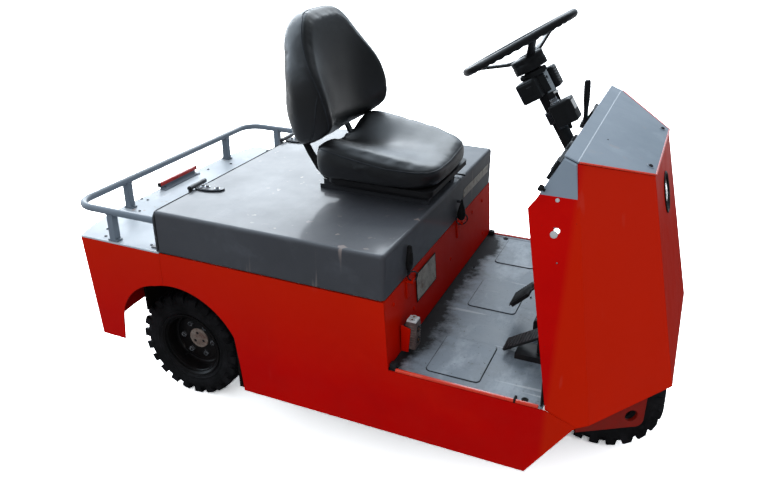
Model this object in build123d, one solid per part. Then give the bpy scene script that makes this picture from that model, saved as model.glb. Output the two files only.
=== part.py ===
"""Airport baggage tug, sit-on three-wheel electric tow tractor, in millimetres.

+X is forward, +Y is the driver's left, +Z is up.  The origin lies on the floor
under the middle of the bounding box.
"""
import os
from math import atan2, cos, degrees, radians, sin, sqrt

from build123d import *

os.makedirs("parts", exist_ok=True)

# ---------------------------------------------------------------- sizes
HALF_L = 990.0            # nose foot and coupling jaw lie at +/- this
HALF_W = 540.0            # skirts, hood and rear body
SHEET = 4.0               # red body sheet
PLATE = 5.0               # deck and bulkhead plate
GAP = 5.0                 # between panels that move apart
SEAM = 0.4                # half the seam between fixed panels
RUN = 0.05                # radial clearance of running fits
SLIDE = 0.25              # radial clearance of the coupling pin

# levels
Z_SKIRT = 228.0           # foot of the skirts
Z_FLOOR = 455.0           # sill and top of the floor plate
Z_REAR = 304.0            # foot of the rear body
Z_DECK = 683.0            # top of the rear deck
Z_HOOD = 826.0            # top of the hood

# stations along X
X_REAR = -HALF_L + 23     # rear face at deck level
REAR_RAKE = 26.0          # rear face moves in by this at its foot
X_HOOD0 = -HALF_L + 395   # rear edge of the hood, seam of the quarter panel
X_HOOD1 = 198.0           # front of the hood and top of the kneeboard
X_KNEE = 214.0            # foot of the kneeboard
X_SILL = HALF_L - 312     # rear edge of the cowl at the sill
X_RW = -HALF_L + 326      # rear axle
X_FOOT0 = X_RW + 358      # foot of the arch
X_FOOT1 = HALF_L - 350    # front foot of the skirts
X_WALL = HALF_L - 430     # bulkhead behind the front wheel
X_PLATE = -HALF_L + 107.7  # front of the coupling's back plate
TAIL_X, TAIL_Y = 45.0, 245.0  # the tail's bowed corners start this far ahead and in

# wheels
R_TYRE = 207.5
W_TYRE = 110.0
SHOULDER = 16.0           # width and drop of the tyre's shoulders
SHOULDER_DROP = 20.0
R_RIM = 128.0             # outside of the rim flanges
R_SEAT = 112.0            # rim under the tyre
FLANGE_IN = 12.0          # a flange's inner face from the tyre side
FLANGE = 5.0
DISC_IN = 12.0            # wheel disc lies this far inboard of the tyre middle
HUB_IN = 30.0             # hub reaches this far inboard of the disc
Y_RW = HALF_W - 222       # middle of a rear tyre
X_FW = HALF_L - R_TYRE    # front wheel and steering axis
STUB_R = 22.0
BOLT_R = 65.0
NUTS = 6
LUGS = 22                 # on each side of a tyre

# cowl
X_COWL_TOP = HALF_L - 430  # rear top corner of the cheeks
Z_COWL_TOP = 997.0
CHEEK_IN = 119.93         # how far a cheek leans in from its foot to its fold's top
Z_CHEEK0 = 425.0          # a cheek is at full half width here
X_CHIN = HALF_L - 222     # foot of the cheeks
X_FOLD0, Z_FOLD0 = HALF_L - 191, 442.0
X_FOLD1, Z_FOLD1 = HALF_L - 320, 1128.0
Z_NOSE0 = 468.0
X_NOSE1, Z_NOSE1 = HALF_L - 142, 1061.0
Y_NOSE0 = HALF_W - 242
Y_NOSE1 = HALF_W - 307
OVER = 60.0               # cutting blocks reach this far past what they cut
Z_LAMP = 937.0
LAMP_R = 62.0

# console, in the middle plane
X_CON0, Z_CON0 = HALF_L - 423, 1000.0
X_CON1, Z_CON1 = HALF_L - 353, 1139.0
CON_GAP = 1.2             # console edge to the cowl sheet
LEVER_Y = HALF_W - 440

# steering
X_SW, Z_SW = HALF_L - 591, 1334.0
SW_LEAN = 32.3            # degrees the column leans back
SW_R = 186.0
SW_TUBE = 12.5
HUB_R = 50.0              # deep hub under the wheel's spokes
HUB_TOP, HUB_FOOT = -41.0, -87.0
COL_R = 21.0
COL_LEN = 740.0

LATCH_Y = (180 - HALF_W, 125)

# guard rail
RAIL_R = 12.0
RAIL_Y = HALF_W - 15
RAIL_Z = 788.0
RAIL_X = X_REAR + 28
RAIL_BEND = 70.0
POST = 24.0
POST_Y = (-274, 342)      # posts on the tail
BAR_Y = (-86, 136)        # release bar

# hood pivot
X_PIVOT, Z_PIVOT = X_HOOD0 - 8, 834.0
HINGE_Y = 300.0
HINGE_PIN = 4.0

# seat
SEAT_HALF = 222.0
BACK_LEAN = 13.0
X_BACK, Z_BACK = -209.0, 987.0

# coupling
X_PIN = -HALF_L + 30
X_JAW = -HALF_L + 85      # root of the jaws
PIN_R = 12.5
JAW_Z0, JAW_Z1 = 330.0, 392.0

# chassis and battery
Y_BEAM = HALF_W - 240     # inner face of the long beams
BEAM = 8.0
Y_ARM = 176.0             # inner face of the axle plates
Z_BELLY = Z_SKIRT + 4.5


# ---------------------------------------------------------------- helpers
def box(x0, x1, y0, y1, z0, z1):
    """Box between two corners."""
    size = Box(x1 - x0, y1 - y0, z1 - z0)
    return Pos((x0 + x1) / 2, (y0 + y1) / 2, (z0 + z1) / 2) * size


def cyl_y(x, z, r, y0, y1):
    """Cylinder along Y."""
    return Pos(x, (y0 + y1) / 2, z) * Rot(90, 0, 0) * Cylinder(r, y1 - y0)


def cyl_z(x, y, r, z0, z1):
    """Cylinder along Z."""
    return Pos(x, y, (z0 + z1) / 2) * Cylinder(r, z1 - z0)


def cyl_x(y, z, r, x0, x1):
    """Cylinder along X."""
    return Pos((x0 + x1) / 2, y, z) * Rot(0, 90, 0) * Cylinder(r, x1 - x0)


def hex_z(x, y, r, z0, z1):
    """Hexagon bolt head along Z."""
    return Pos(x, y, z0) * extrude(RegularPolygon(r, 6), amount=z1 - z0)


def hoop(r, tube, sides):
    """Ring about Z whose section is a polygon."""
    section = Rot(90, 0, 0) * Pos(r, 0, 0) * RegularPolygon(tube, sides)
    return revolve(section, axis=Axis.Z)


def prism_y(points, y0, y1):
    """Outline in XZ pushed from y0 to y1."""
    face = make_face(Polyline(*points, close=True))
    return Pos(0, y1, 0) * Rot(90, 0, 0) * extrude(face, amount=y1 - y0)


def prism_z(points, z0, z1):
    """Outline in XY pushed from z0 to z1."""
    face = make_face(Polyline(*points, close=True))
    return Pos(0, 0, z0) * extrude(face, amount=z1 - z0)


def column(t, y=0.0, out=0.0):
    """Location t mm down the steering column, its local Z along the column."""
    a = radians(SW_LEAN)
    x = X_SW + sin(a) * t - cos(a) * out
    z = Z_SW - cos(a) * t - sin(a) * out
    return Pos(x, y, z) * Rot(0, -SW_LEAN, 0)


def console(s, y, out=0.0):
    """Location s mm up the console, its local X up it and Z facing the driver."""
    dx, dz = X_CON1 - X_CON0, Z_CON1 - Z_CON0
    n = sqrt(dx * dx + dz * dz)
    x = X_CON0 + dx / n * s - dz / n * out
    z = Z_CON0 + dz / n * s + dx / n * out
    return Pos(x, y, z) * Rot(0, -degrees(atan2(dz, dx)), 0)


def rod(t0, t1, r):
    """Cylinder round the column from t0 to t1 down it."""
    return column(0) * Pos(0, 0, -(t0 + t1) / 2) * Cylinder(r, t1 - t0)


def save(node, *shapes):
    """Write one node, its loose solids together."""
    solids = []
    for shape in shapes:
        solids.extend(shape.solids())
    out = solids[0] if len(solids) == 1 else Compound(children=solids)
    export_step(out, "parts/" + node + ".step")


# ---------------------------------------------------------------- body
def arch(y0, y1):
    """Space cut out of the sides over a rear wheel."""
    x = X_RW
    top = Polyline((x - 135, 200), (x - 135, 305), (x - 125, 394))
    a1 = ThreePointArc((x - 125, 394), (x - 71, 500), (x + 35, 552))
    a2 = ThreePointArc((x + 35, 552), (x + 112, 564.5), (x + 214, 541))
    a3 = ThreePointArc((x + 214, 541), (x + 286, 491), (x + 334, 427))
    front = Polyline((x + 334, 427), (x + 348, 326), (X_FOOT0, 224), (X_FOOT0, 200))
    foot = Line((X_FOOT0, 200), (x - 135, 200))
    face = make_face(Wire([*top.edges(), a1.edge(), a2.edge(), a3.edge(),
                           *front.edges(), foot.edge()]))
    return Pos(0, y1, 0) * Rot(90, 0, 0) * extrude(face, amount=y1 - y0)


def tub(inset, z0, z1, lean):
    """Rear body block with bowed rear corners, its rear face raked."""
    def ring(z):
        x0 = X_REAR + inset + lean * (Z_DECK - z)
        x1 = X_HOOD0 - SEAM + (50 if inset else 0)
        y = HALF_W - inset
        xc, xm = x0 + TAIL_X, x0 + 0.33 * TAIL_X
        ym, yt = y - 0.42 * TAIL_Y, y - TAIL_Y
        right = ThreePointArc((xc, -y), (xm, -ym), (x0, -yt))
        left = ThreePointArc((x0, yt), (xm, ym), (xc, y))
        sides = [Line((x1, -y), (xc, -y)), Line((x0, -yt), (x0, yt)),
                 Line((xc, y), (x1, y)), Line((x1, y), (x1, -y))]
        wire = Wire([e.edge() for e in (sides[0], right, sides[1], left, sides[2], sides[3])])
        return Pos(0, 0, z) * make_face(wire)
    return loft([ring(z0), ring(z1)], ruled=True)


def rear_body():
    lean = REAR_RAKE / (Z_DECK - Z_REAR)
    z1 = Z_DECK - PLATE
    shell = tub(0, Z_REAR, z1, lean) - tub(SHEET, Z_REAR - 1, z1 + 1, lean)
    shell -= arch(-HALF_W - OVER, HALF_W + OVER)
    shell -= box(X_REAR - 100, X_REAR + 67, -100, 100, 200, 575)
    return shell


def rear_deck():
    deck = tub(0, Z_DECK - PLATE, Z_DECK, REAR_RAKE / (Z_DECK - Z_REAR))
    y = HALF_W - 10
    deck += box(X_HOOD0 - 12, X_HOOD0 - 7, -y, y, Z_DECK - 70, Z_DECK - 1)
    return deck


def skirt(y0, y1):
    pts = [(X_HOOD0 + SEAM, Z_DECK - 3), (X_HOOD1, Z_DECK - 3), (X_KNEE, Z_FLOOR),
           (X_SILL, Z_FLOOR), (X_CHIN, Z_CHEEK0), (X_CHIN - 10, Z_CHEEK0 - 10), (X_FOOT1, Z_SKIRT),
           (X_FOOT0 - 30, Z_SKIRT), (X_HOOD0 + SEAM, Z_SKIRT)]
    plate = prism_y(pts, y0, y1) - arch(y0 - 1, y1 + 1)
    return plate


def side_skirt(side):
    y = HALF_W * side
    y0, y1 = sorted((y, y - SHEET * side))
    plate = skirt(y0, y1)
    f0, f1 = sorted((y - SHEET * side, y - 24 * side))
    rims = box(X_HOOD0 + 40, X_HOOD1 - 30, f0, f1, Z_DECK - 7, Z_DECK - 3)
    foot = box(X_FOOT0 + 20, X_FOOT1 - 6, f0, f1, Z_SKIRT, Z_SKIRT + 4)
    return plate + rims + foot


def kneeboard():
    y = HALF_W - SHEET - 0.5
    t = SHEET
    pts = [(X_HOOD1, Z_DECK - 3), (X_KNEE, Z_FLOOR + 8), (X_KNEE - t, Z_FLOOR + 8),
           (X_HOOD1 - t, Z_DECK - 3)]
    board = prism_y(pts, -y, y)
    board += box(X_HOOD1 - 26, X_HOOD1 - 1, -y, y, Z_DECK - 7, Z_DECK - 3)
    return board


def floor_plate():
    y = HALF_W - SHEET - 0.5
    plate = box(X_KNEE - 30, X_SILL - 6, -y, y, Z_FLOOR, Z_FLOOR + 4)
    pads = []
    for x0, x1, y0, y1 in FLOOR_PADS:
        pads.append(box(x0, x1, y0, y1, Z_FLOOR + 4, Z_FLOOR + 7))
    for pad in pads:
        plate += fillet(pad.edges().filter_by(Axis.Z), 14)
    return plate


# x0, x1, y0, y1 of the tread pads on the floor
FLOOR_PADS = (
    (X_KNEE + 101, X_KNEE + 264, 43 - HALF_W, 248 - HALF_W),
    (X_KNEE + 98, X_KNEE + 262, -80, 124),
    (X_KNEE + 94, X_KNEE + 241, HALF_W - 262, HALF_W - 40),
    (X_SILL - 198, X_SILL - 58, HALF_W - 308, HALF_W - 88),
)


def sill_trim():
    y = HALF_W - SHEET
    out = []
    for side in (-1, 1):
        y0, y1 = sorted((side * (y - 0.5), side * (y - 22)))
        out.append(box(X_KNEE + 24, X_SILL - 26, y0, y1, Z_FLOOR + 4.5, Z_FLOOR + 11))
        out.append(box(X_KNEE + 1, X_KNEE + 23, y0, y1, Z_FLOOR + 4.5, Z_FLOOR + 22))
    return out


def bulkhead():
    y = HALF_W - 3
    x = X_HOOD0 - GAP
    wall = box(x - PLATE, x, -y, y, Z_DECK + 0.5, Z_HOOD - 8)
    edges = wall.edges().filter_by(Axis.X).sort_by(Axis.Z)[-2:]
    wall = fillet(edges, 24)
    wall += box(x - 40, x, -y + 17, y - 17, Z_DECK + 0.5, Z_DECK + 4.5)
    return wall


# ---------------------------------------------------------------- hood
def hood_block(inset):
    x1 = X_HOOD1 - inset
    y = HALF_W - inset
    z0 = Z_DECK + 2 - (20 if inset else 0)
    x0 = X_HOOD0 - (20 if inset else 0)
    block = box(x0, x1, -y, y, z0, Z_HOOD - inset)
    block = fillet(block.edges().filter_by(Axis.Z).sort_by(Axis.X)[-2:], 14 - inset)
    top = block.faces().sort_by(Axis.Z)[-1]
    rim = [e for e in top.edges() if e.center().X > x0 + 1]
    return fillet(rim, 12 - inset)


def hood():
    shell = hood_block(0) - hood_block(3)
    ribs = []
    y = HALF_W - 40
    for i in (1, 2, 3):
        x = X_HOOD0 + (X_HOOD1 - X_HOOD0) / 4 * i
        ribs.append(box(x, x + 30, -y, y, Z_HOOD - 13, Z_HOOD - 3))
    for rib in ribs:
        shell += rib
    return shell


def hinge_half(moving):
    """Leaves and knuckles of both hood hinges, fixed or moving half."""
    out = []
    for yc in (-HINGE_Y, HINGE_Y):
        if moving:
            k = cyl_y(X_PIVOT, Z_PIVOT, 8, yc - 19, yc + 19)
            k += box(X_PIVOT, X_HOOD0 + 60, yc - 19, yc + 19, Z_HOOD + 0.2, Z_HOOD + 5.2)
            k += prism_z([(X_HOOD0 + 60, yc - 19), (X_HOOD0 + 95, yc - 4),
                          (X_HOOD0 + 95, yc + 14), (X_HOOD0 + 60, yc + 19)],
                         Z_HOOD + 0.2, Z_HOOD + 5.2)
            for dx in (16, 34, 74):
                k += hex_z(X_HOOD0 + dx, yc, 6.5, Z_HOOD + 5.2, Z_HOOD + 10)
            k -= cyl_y(X_PIVOT, Z_PIVOT, HINGE_PIN + RUN, yc - 30, yc + 30)
            out.append(k)
        else:
            k = None
            x0 = X_HOOD0 - GAP - PLATE
            for y0, y1 in ((yc - 40, yc - 21), (yc + 21, yc + 40)):
                part = cyl_y(X_PIVOT, Z_PIVOT, 8, y0, y1)
                part += box(x0 - 6, x0 - 0.2, y0, y1, Z_PIVOT - 24, Z_PIVOT)
                k = part if k is None else k + part
            k += box(x0 - 6, x0 - 0.2, yc - 40, yc + 40, Z_DECK + 60, Z_PIVOT - 20)
            k += cyl_y(X_PIVOT, Z_PIVOT, HINGE_PIN, yc - 44, yc + 44)
            out.append(k)
    return out


def hood_latches():
    out = []
    z = 758
    for y in LATCH_Y:
        pull = box(X_HOOD1 + 0.3, X_HOOD1 + 9, y - 19, y + 19, z - 30, z + 14)
        pull = fillet(pull.edges().filter_by(Axis.X), 9)
        pull += cyl_x(y, z + 22, 9, X_HOOD1 + 0.3, X_HOOD1 + 7)
        pull += box(X_HOOD1 + 2, X_HOOD1 + 8, y - 8, y + 8, z - 66, z - 28)
        pull += box(X_HOOD1 + 2, X_HOOD1 + 16, y - 12, y + 12, z - 70, z - 62)
        out.append(pull)
    return out


def latch_catches():
    out = []
    slope = (X_KNEE - X_HOOD1) / (Z_DECK - 3 - Z_FLOOR - 8)
    x0 = X_HOOD1 + slope * (Z_DECK - 3 - 612) + 0.3
    x1 = X_HOOD1 + slope * (Z_DECK - 3 - 670) + 0.3
    for y in LATCH_Y:
        hook = prism_y([(x0, 612), (x0 + 4, 612), (x1 + 4, 670), (x1, 670)], y - 16, y + 16)
        hook += box(x1 + 1, x1 + 22, y - 10, y + 10, 664, 670)
        hook += box(x1 + 17, x1 + 22, y - 10, y + 10, 670, 676)
        out.append(hook)
    return out


# ---------------------------------------------------------------- rail and rear
def guard_rail():
    x1 = X_HOOD0 - GAP - PLATE - 0.2
    pts = [(x1, -RAIL_Y, RAIL_Z), (RAIL_X, -RAIL_Y, RAIL_Z), (RAIL_X, RAIL_Y, RAIL_Z),
           (x1, RAIL_Y, RAIL_Z)]
    path = FilletPolyline(*pts, radius=RAIL_BEND)
    tube = sweep(Plane(origin=pts[0], z_dir=(-1, 0, 0)) * Circle(RAIL_R), path=path)
    h = POST / 2
    side = RAIL_Y - 3
    xs = X_REAR + 180
    for x, yy in ((xs, -side), (xs, side), (RAIL_X, POST_Y[0]), (RAIL_X, POST_Y[1])):
        tube += box(x - h, x + h, yy - h, yy + h, Z_DECK + 0.3, RAIL_Z)
        tube += box(x - h - 8, x + h + 8, yy - h, yy + h, Z_DECK + 0.3, Z_DECK + 6)
    return tube


def release_bracket():
    """Upright angle on the deck edge that carries the release bar."""
    x = X_REAR + 9
    y0, y1 = BAR_Y
    bracket = box(x, x + 28, y0 + 2, y1 - 2, Z_DECK + 0.3, Z_DECK + 4.3)
    bracket += box(x, x + 4, y0 + 2, y1 - 2, Z_DECK + 0.3, Z_DECK + 18)
    return bracket


def release_handle():
    """Bar along the top of its bracket."""
    x = X_REAR + 11
    bar = box(x - 4.5, x + 4.5, *BAR_Y, Z_DECK + 18.2, Z_DECK + 28)
    return chamfer(bar.edges().filter_by(Axis.Y), 1.5)


def coupling():
    x0, x1 = -HALF_L, X_JAW
    y = 60
    jaw = box(x0, x1, -y, y, JAW_Z0 - 14, JAW_Z0) + box(x0, x1, -y, y, JAW_Z1, JAW_Z1 + 14)
    flare = 34
    jaw += box(x1 - 26, x1, -y, y, JAW_Z0 - 14, JAW_Z1 + 14)
    for side in (-1, 1):
        y0, y1 = sorted((side * (y - 10), side * y))
        jaw += box(x0 + flare, x1, y0, y1, JAW_Z0, JAW_Z1)
    jaw = fillet(jaw.edges().filter_by(Axis.Z).sort_by(Axis.X)[:4], 12)
    jaw += box(x1, X_PLATE, -95, 95, JAW_Z0 - 34, JAW_Z1 + 40)
    jaw -= cyl_z(X_PIN, 0, PIN_R + SLIDE, JAW_Z0 - 30, JAW_Z1 + 30)
    return jaw


def coupling_pin():
    pin = cyl_z(X_PIN, 0, PIN_R, JAW_Z0 - 22, JAW_Z1 + 26)
    pin += cyl_z(X_PIN, 0, 19, JAW_Z1 + 14.4, JAW_Z1 + 26)
    ring = Pos(X_PIN, 0, JAW_Z1 + 44) * Rot(0, 90, 0) * hoop(20, 4.5, 6)
    return pin + ring


# ---------------------------------------------------------------- cowl
def y_cheek(z):
    return HALF_W - CHEEK_IN / (Z_FOLD1 - Z_CHEEK0) * (z - Z_CHEEK0)


def x_front(z):
    return HALF_L - (HALF_L - X_NOSE1) / (Z_NOSE1 - Z_NOSE0) * (z - Z_NOSE0)


def facet_plane(inset, side):
    """Plane of the slanting front facet on one side, facing out."""
    a = Vector(X_FOLD0, side * y_cheek(Z_FOLD0), Z_FOLD0)
    b = Vector(X_FOLD1, side * y_cheek(Z_FOLD1), Z_FOLD1)
    c = Vector(x_front(Z_NOSE0), side * Y_NOSE0, Z_NOSE0)
    n = (c - a).cross(b - a).normalized()
    if n.Y * side < 0:
        n = n * -1
    return Plane(origin=a - n * inset, z_dir=n)


def cowl_block(inset):
    """Cowl as a closed block; an inset block runs out at rear, top and foot."""
    if inset:
        rake = (HALF_L - X_NOSE1) / (Z_NOSE1 - Z_NOSE0)
        e = sqrt(1 + rake * rake) * inset
        z0, z1 = Z_CHEEK0 - OVER, Z_FOLD1 + OVER
        x = X_COWL_TOP - OVER
        pts = [(x, z0), (x - 3 * OVER, z1), (x_front(z1) - e, z1), (x_front(z0) - e, z0)]
    else:
        pts = [(X_SILL, Z_FLOOR), (X_COWL_TOP, Z_COWL_TOP), (X_CON1, Z_CON1 - 26),
               (X_FOLD1, Z_FOLD1 - 2), (X_NOSE1, Z_NOSE1 - 2),
               (x_front(Z_NOSE0), Z_NOSE0), (X_FOLD0, Z_FOLD0), (X_CHIN, Z_CHEEK0)]
    side = prism_y(pts, -HALF_W - OVER, HALF_W + OVER)
    lean = CHEEK_IN / (Z_FOLD1 - Z_CHEEK0)
    k = sqrt(1 + lean * lean) * inset
    z0, z1 = Z_CHEEK0 - 2 * OVER, Z_FOLD1 + 2 * OVER
    rim = [(-(y_cheek(z0) - k), z0), (y_cheek(z0) - k, z0),
           (y_cheek(z1) - k, z1), (-(y_cheek(z1) - k), z1)]
    face = make_face(Polyline(*rim, close=True))
    front = Pos(X_HOOD1, 0, 0) * extrude(Plane.YZ * face, amount=HALF_L)
    block = side & front
    for s in (-1, 1):
        block = split(block, bisect_by=facet_plane(inset, s), keep=Keep.BOTTOM)
    return block


def lamp_at():
    """Location on the nose at the lamp, its local Z out of the sheet."""
    tilt = degrees(atan2(HALF_L - X_NOSE1, Z_NOSE1 - Z_NOSE0))
    return Pos(x_front(Z_LAMP), 0, Z_LAMP) * Rot(0, 90 - tilt, 0)


def cowl():
    shell = cowl_block(0) - cowl_block(SHEET)
    shell -= lamp_at() * Cylinder(LAMP_R, OVER)
    y = HALF_W + OVER
    for dx, dz, r in ((82, -47, 8), (80, 46, 5)):
        shell -= cyl_y(X_COWL_TOP + dx, Z_COWL_TOP + dz, r, -y, y)
    return shell


def headlamp():
    r = LAMP_R
    bowl = Pos(0, 0, -22) * Cylinder(r - 2, 34)
    bowl -= Pos(0, 0, -6) * Cylinder(r - 7, 24)
    lens = Pos(0, 0, -14) * Cylinder(r - 7.5, 6)
    flange = Pos(0, 0, -7) * Cylinder(r + 10, 4) - Pos(0, 0, -7) * Cylinder(r - 4, 10)
    return lamp_at() * (bowl + lens + flange)


def top_plate():
    """Grey plate on top of the cowl, its outline from the cowl itself."""
    slope = (Z_NOSE1 - Z_FOLD1) / (X_NOSE1 - X_FOLD1)

    def z_at(x):
        return Z_FOLD1 + slope * (x - X_FOLD1)
    x0, x1 = X_CON1 - 2, X_NOSE1 - 1
    wedge = prism_y([(x0, z_at(x0) - 1), (x1, z_at(x1) - 1), (x1, z_at(x1) + 3),
                     (x0, z_at(x0) + 3)], -HALF_W, HALF_W)
    y1 = y_cheek(Z_FOLD1) - 1
    y2 = Y_NOSE1
    plan = [(x0, -y1), (X_FOLD1, -y1), (x1, -y2), (x1, y2), (X_FOLD1, y1), (x0, y1)]
    return wedge & prism_z(plan, Z_NOSE1 - 2 * OVER, Z_FOLD1 + 2 * OVER)


def console_panel():
    n = sqrt((X_CON1 - X_CON0) ** 2 + (Z_CON1 - Z_CON0) ** 2)
    y0 = y_cheek(Z_CON0) - SHEET - CON_GAP
    y1 = y_cheek(Z_CON1) - SHEET - CON_GAP
    face = make_face(Polyline((0, -y0), (n - 4, -y1), (n - 4, y1), (0, y0), close=True))
    panel = console(0, 0) * extrude(face, amount=-4)
    panel -= rod(100, 500, COL_R + 3)
    back_lip = console(0, 0) * extrude(
        make_face(Polyline((0, -y0), (4, -y0), (4, y0), (0, y0), close=True)), amount=-26)
    return panel + (back_lip - rod(100, 500, COL_R + 3))


# s up the console, y, half width, half height, height of the bezel
BEZELS = (
    (96, 210 - HALF_W, 58, 30, 10),
    (92, 325 - HALF_W, 42, 42, 12),
    (92, 418 - HALF_W, 34, 34, 12),
    (96, HALF_W - 340, 50, 28, 10),
)


def instruments():
    out = []
    for s, y, w, h, t in BEZELS:
        if w == h:
            dial = console(s, y, t / 2 + 0.1) * Cylinder(w - 4, t)
            dial -= console(s, y, t - 1) * Cylinder(w - 10, 4)
            out.append(dial)
        else:
            case = Box(2 * h, 2 * w, t)
            case = fillet(case.edges().filter_by(Axis.Z), 7)
            case -= Pos(0, 0, t / 2) * Box(2 * h - 12, 2 * w - 12, 4)
            out.append(console(s, y, t / 2 + 0.1) * case)
    return out


def console_lever():
    lever = console(100, LEVER_Y, 8.2) * Cylinder(17, 16)
    stem = Pos(X_CON1 - 37, LEVER_Y, Z_CON1 - 51) * Rot(0, -3, 0)
    lever += stem * Pos(0, 0, 42) * Cylinder(6, 84)
    lever += stem * Pos(0, 0, 110) * Cylinder(10, 52)
    return lever


def toe_board():
    z0, z1 = Z_FLOOR + 4.2, Z_COWL_TOP - 137
    x = X_SILL - 14
    pts = [(x, z0), (x - 24, z1), (x - 20, z1), (x + 4, z0)]
    board = prism_y(pts, -HALF_W, HALF_W)
    y0, y1 = y_cheek(z0) - SHEET - 0.5, y_cheek(z1) - SHEET - 0.5
    face = make_face(Polyline((-y0, z0), (y0, z0), (y1, z1), (-y1, z1), close=True))
    return board & Pos(x - OVER, 0, 0) * extrude(Plane.YZ * face, amount=2 * OVER)


# ---------------------------------------------------------------- steering
def steering_wheel():
    rim = hoop(SW_R - SW_TUBE, SW_TUBE, 10)
    hub = Pos(0, 0, (HUB_TOP + HUB_FOOT) / 2) * Cylinder(HUB_R, HUB_TOP - HUB_FOOT)
    hub -= Pos(0, 0, HUB_FOOT) * Cylinder(34, 2 * (HUB_TOP - HUB_FOOT - 6))
    wheel = rim + hub
    for a in (0, 120, 240):
        arm = Pos(108, 0, -23) * Rot(0, -19, 0) * Box(132, 26, 8)
        wheel += Rot(0, 0, a + 60) * arm
    shaft = Pos(0, 0, -82) * Cylinder(9, 90)
    return column(0) * (wheel + shaft)


def steering_column():
    tube = Pos(0, 0, -(52 + COL_LEN) / 2) * Cylinder(COL_R, COL_LEN - 52)
    tube -= Pos(0, 0, -90) * Cylinder(9 + RUN, 110)
    head = Pos(0, 0, -71) * Cylinder(27, 38) - Pos(0, 0, -71) * Cylinder(9 + RUN, 60)
    return column(0) * (tube + head)


def column_switches():
    """Switch housings on both sides of the column, and their stalk."""
    right = Pos(-20, -45, -137) * Box(60, 58, 64)
    right = fillet(right.edges().filter_by(Axis.Z), 8)
    left = Pos(20, 45, -137) * Box(58, 56, 66)
    left = fillet(left.edges().filter_by(Axis.Z), 8)
    clamp = Pos(0, 0, -137) * Box(58, 60, 46)
    stalk = Pos(-8, -12, -108) * Rot(0, -84, 0) * Cylinder(4.5, 80)
    knob = Pos(-50, -12, -104) * Sphere(7)
    body = (right + left + clamp + stalk + knob) - rod_space(-60, -300)
    return column(0) * body


def rod_space(z0, z1):
    """Room for the column through a housing clamped on it."""
    return Pos(0, 0, (z0 + z1) / 2) * Cylinder(COL_R + 0.2, abs(z1 - z0))


def ignition_box():
    case = Pos(44, -46, -238) * Box(66, 62, 70)
    case = fillet(case.edges().filter_by(Axis.Z), 6)
    case += Pos(30, -50, -196) * Cylinder(11, 20)
    case += Pos(30, -50, -178) * Box(20, 4, 20)
    return column(0) * (case - rod_space(-100, -400))


def steer_gearbox():
    z = Z_FLOOR + 165
    case = box(X_FW - 62, X_FW + 62, -62, 62, z, z + 110)
    case = fillet(case.edges().filter_by(Axis.Z), 18)
    case -= rod(100, COL_LEN + 0.3, COL_R + 0.2)
    head = cyl_z(X_FW, 0, 62, Z_FLOOR + 15, z)
    head += cyl_z(X_FW, 0, 92, Z_FLOOR - 0.3, Z_FLOOR + 17)
    shell = case + head
    shell -= cyl_z(X_FW, 0, 30 + RUN, Z_FLOOR - 25, z + 20)
    return shell


def front_fork():
    z = Z_FLOOR - 15
    crown = box(X_FW - 70, X_FW + 70, -88, 88, z - 16, z + 2)
    crown = fillet(crown.edges().filter_by(Axis.Z), 20)
    fork = crown + cyl_z(X_FW, 0, 30, z, Z_FLOOR + 181)
    fork += cyl_z(X_FW, 0, 48, z, z + 12)
    for side in (-1, 1):
        y0, y1 = sorted((side * 70, side * 86))
        fork += prism_y([(X_FW - 60, z - 14), (X_FW + 60, z - 14), (X_FW + 32, R_TYRE - 10),
                         (X_FW - 32, R_TYRE - 10)], y0, y1)
        fork += cyl_y(X_FW, R_TYRE, 40, y0, y1)
    return fork


def front_axle():
    axle = cyl_y(X_FW, R_TYRE, 14, -98, 98)
    for side in (-1, 1):
        y0, y1 = sorted((side * 86, side * 98))
        axle += Pos(X_FW, (y0 + y1) / 2, R_TYRE) * Rot(90, 0, 0) * extrude(
            RegularPolygon(21, 6), amount=(y1 - y0) / 2, both=True)
    return axle


# ---------------------------------------------------------------- wheels
def tyre_slice(r, y):
    """Outline of the tyre across its axle, a corner at its foot."""
    pts = []
    for i in range(2 * LUGS):
        a = radians(180.0 * i / LUGS)
        pts.append((r * sin(a), r * cos(a)))
    return Pos(0, y, 0) * Rot(90, 0, 0) * make_face(Polyline(*pts, close=True))


def tyre():
    """Tyre about the Y axis at the origin, with lug bars cut into the tread."""
    h = W_TYRE / 2
    crown = h - SHOULDER
    seat = (R_SEAT + 0.2) / cos(radians(90.0 / LUGS))
    slope = degrees(atan2(SHOULDER_DROP, SHOULDER))
    body = extrude(tyre_slice(R_TYRE, 0), amount=crown, both=True)
    body += extrude(tyre_slice(R_TYRE, -crown), amount=SHOULDER, taper=slope)
    body += Rot(0, 0, 180) * extrude(tyre_slice(R_TYRE, -crown), amount=SHOULDER, taper=slope)
    body -= extrude(tyre_slice(seat, 0), amount=h + 1, both=True)
    recess = extrude(tyre_slice(R_RIM + 6, -h + FLANGE_IN + 0.3), amount=FLANGE_IN + 5)
    body -= [recess, Rot(0, 0, 180) * recess]
    cuts = []
    for i in range(LUGS):
        a = 360.0 * i / LUGS + 90.0 / LUGS
        for side, turn in ((-1, 0.0), (1, 180.0 / LUGS)):
            y0, y1 = sorted((side * (h + 4), side * 12))
            bar = box(-9, 9, y0, y1, R_TYRE - 11, R_TYRE + 6)
            cuts.append(Rot(0, a + turn, 0) * bar)
    return body - cuts


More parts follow.
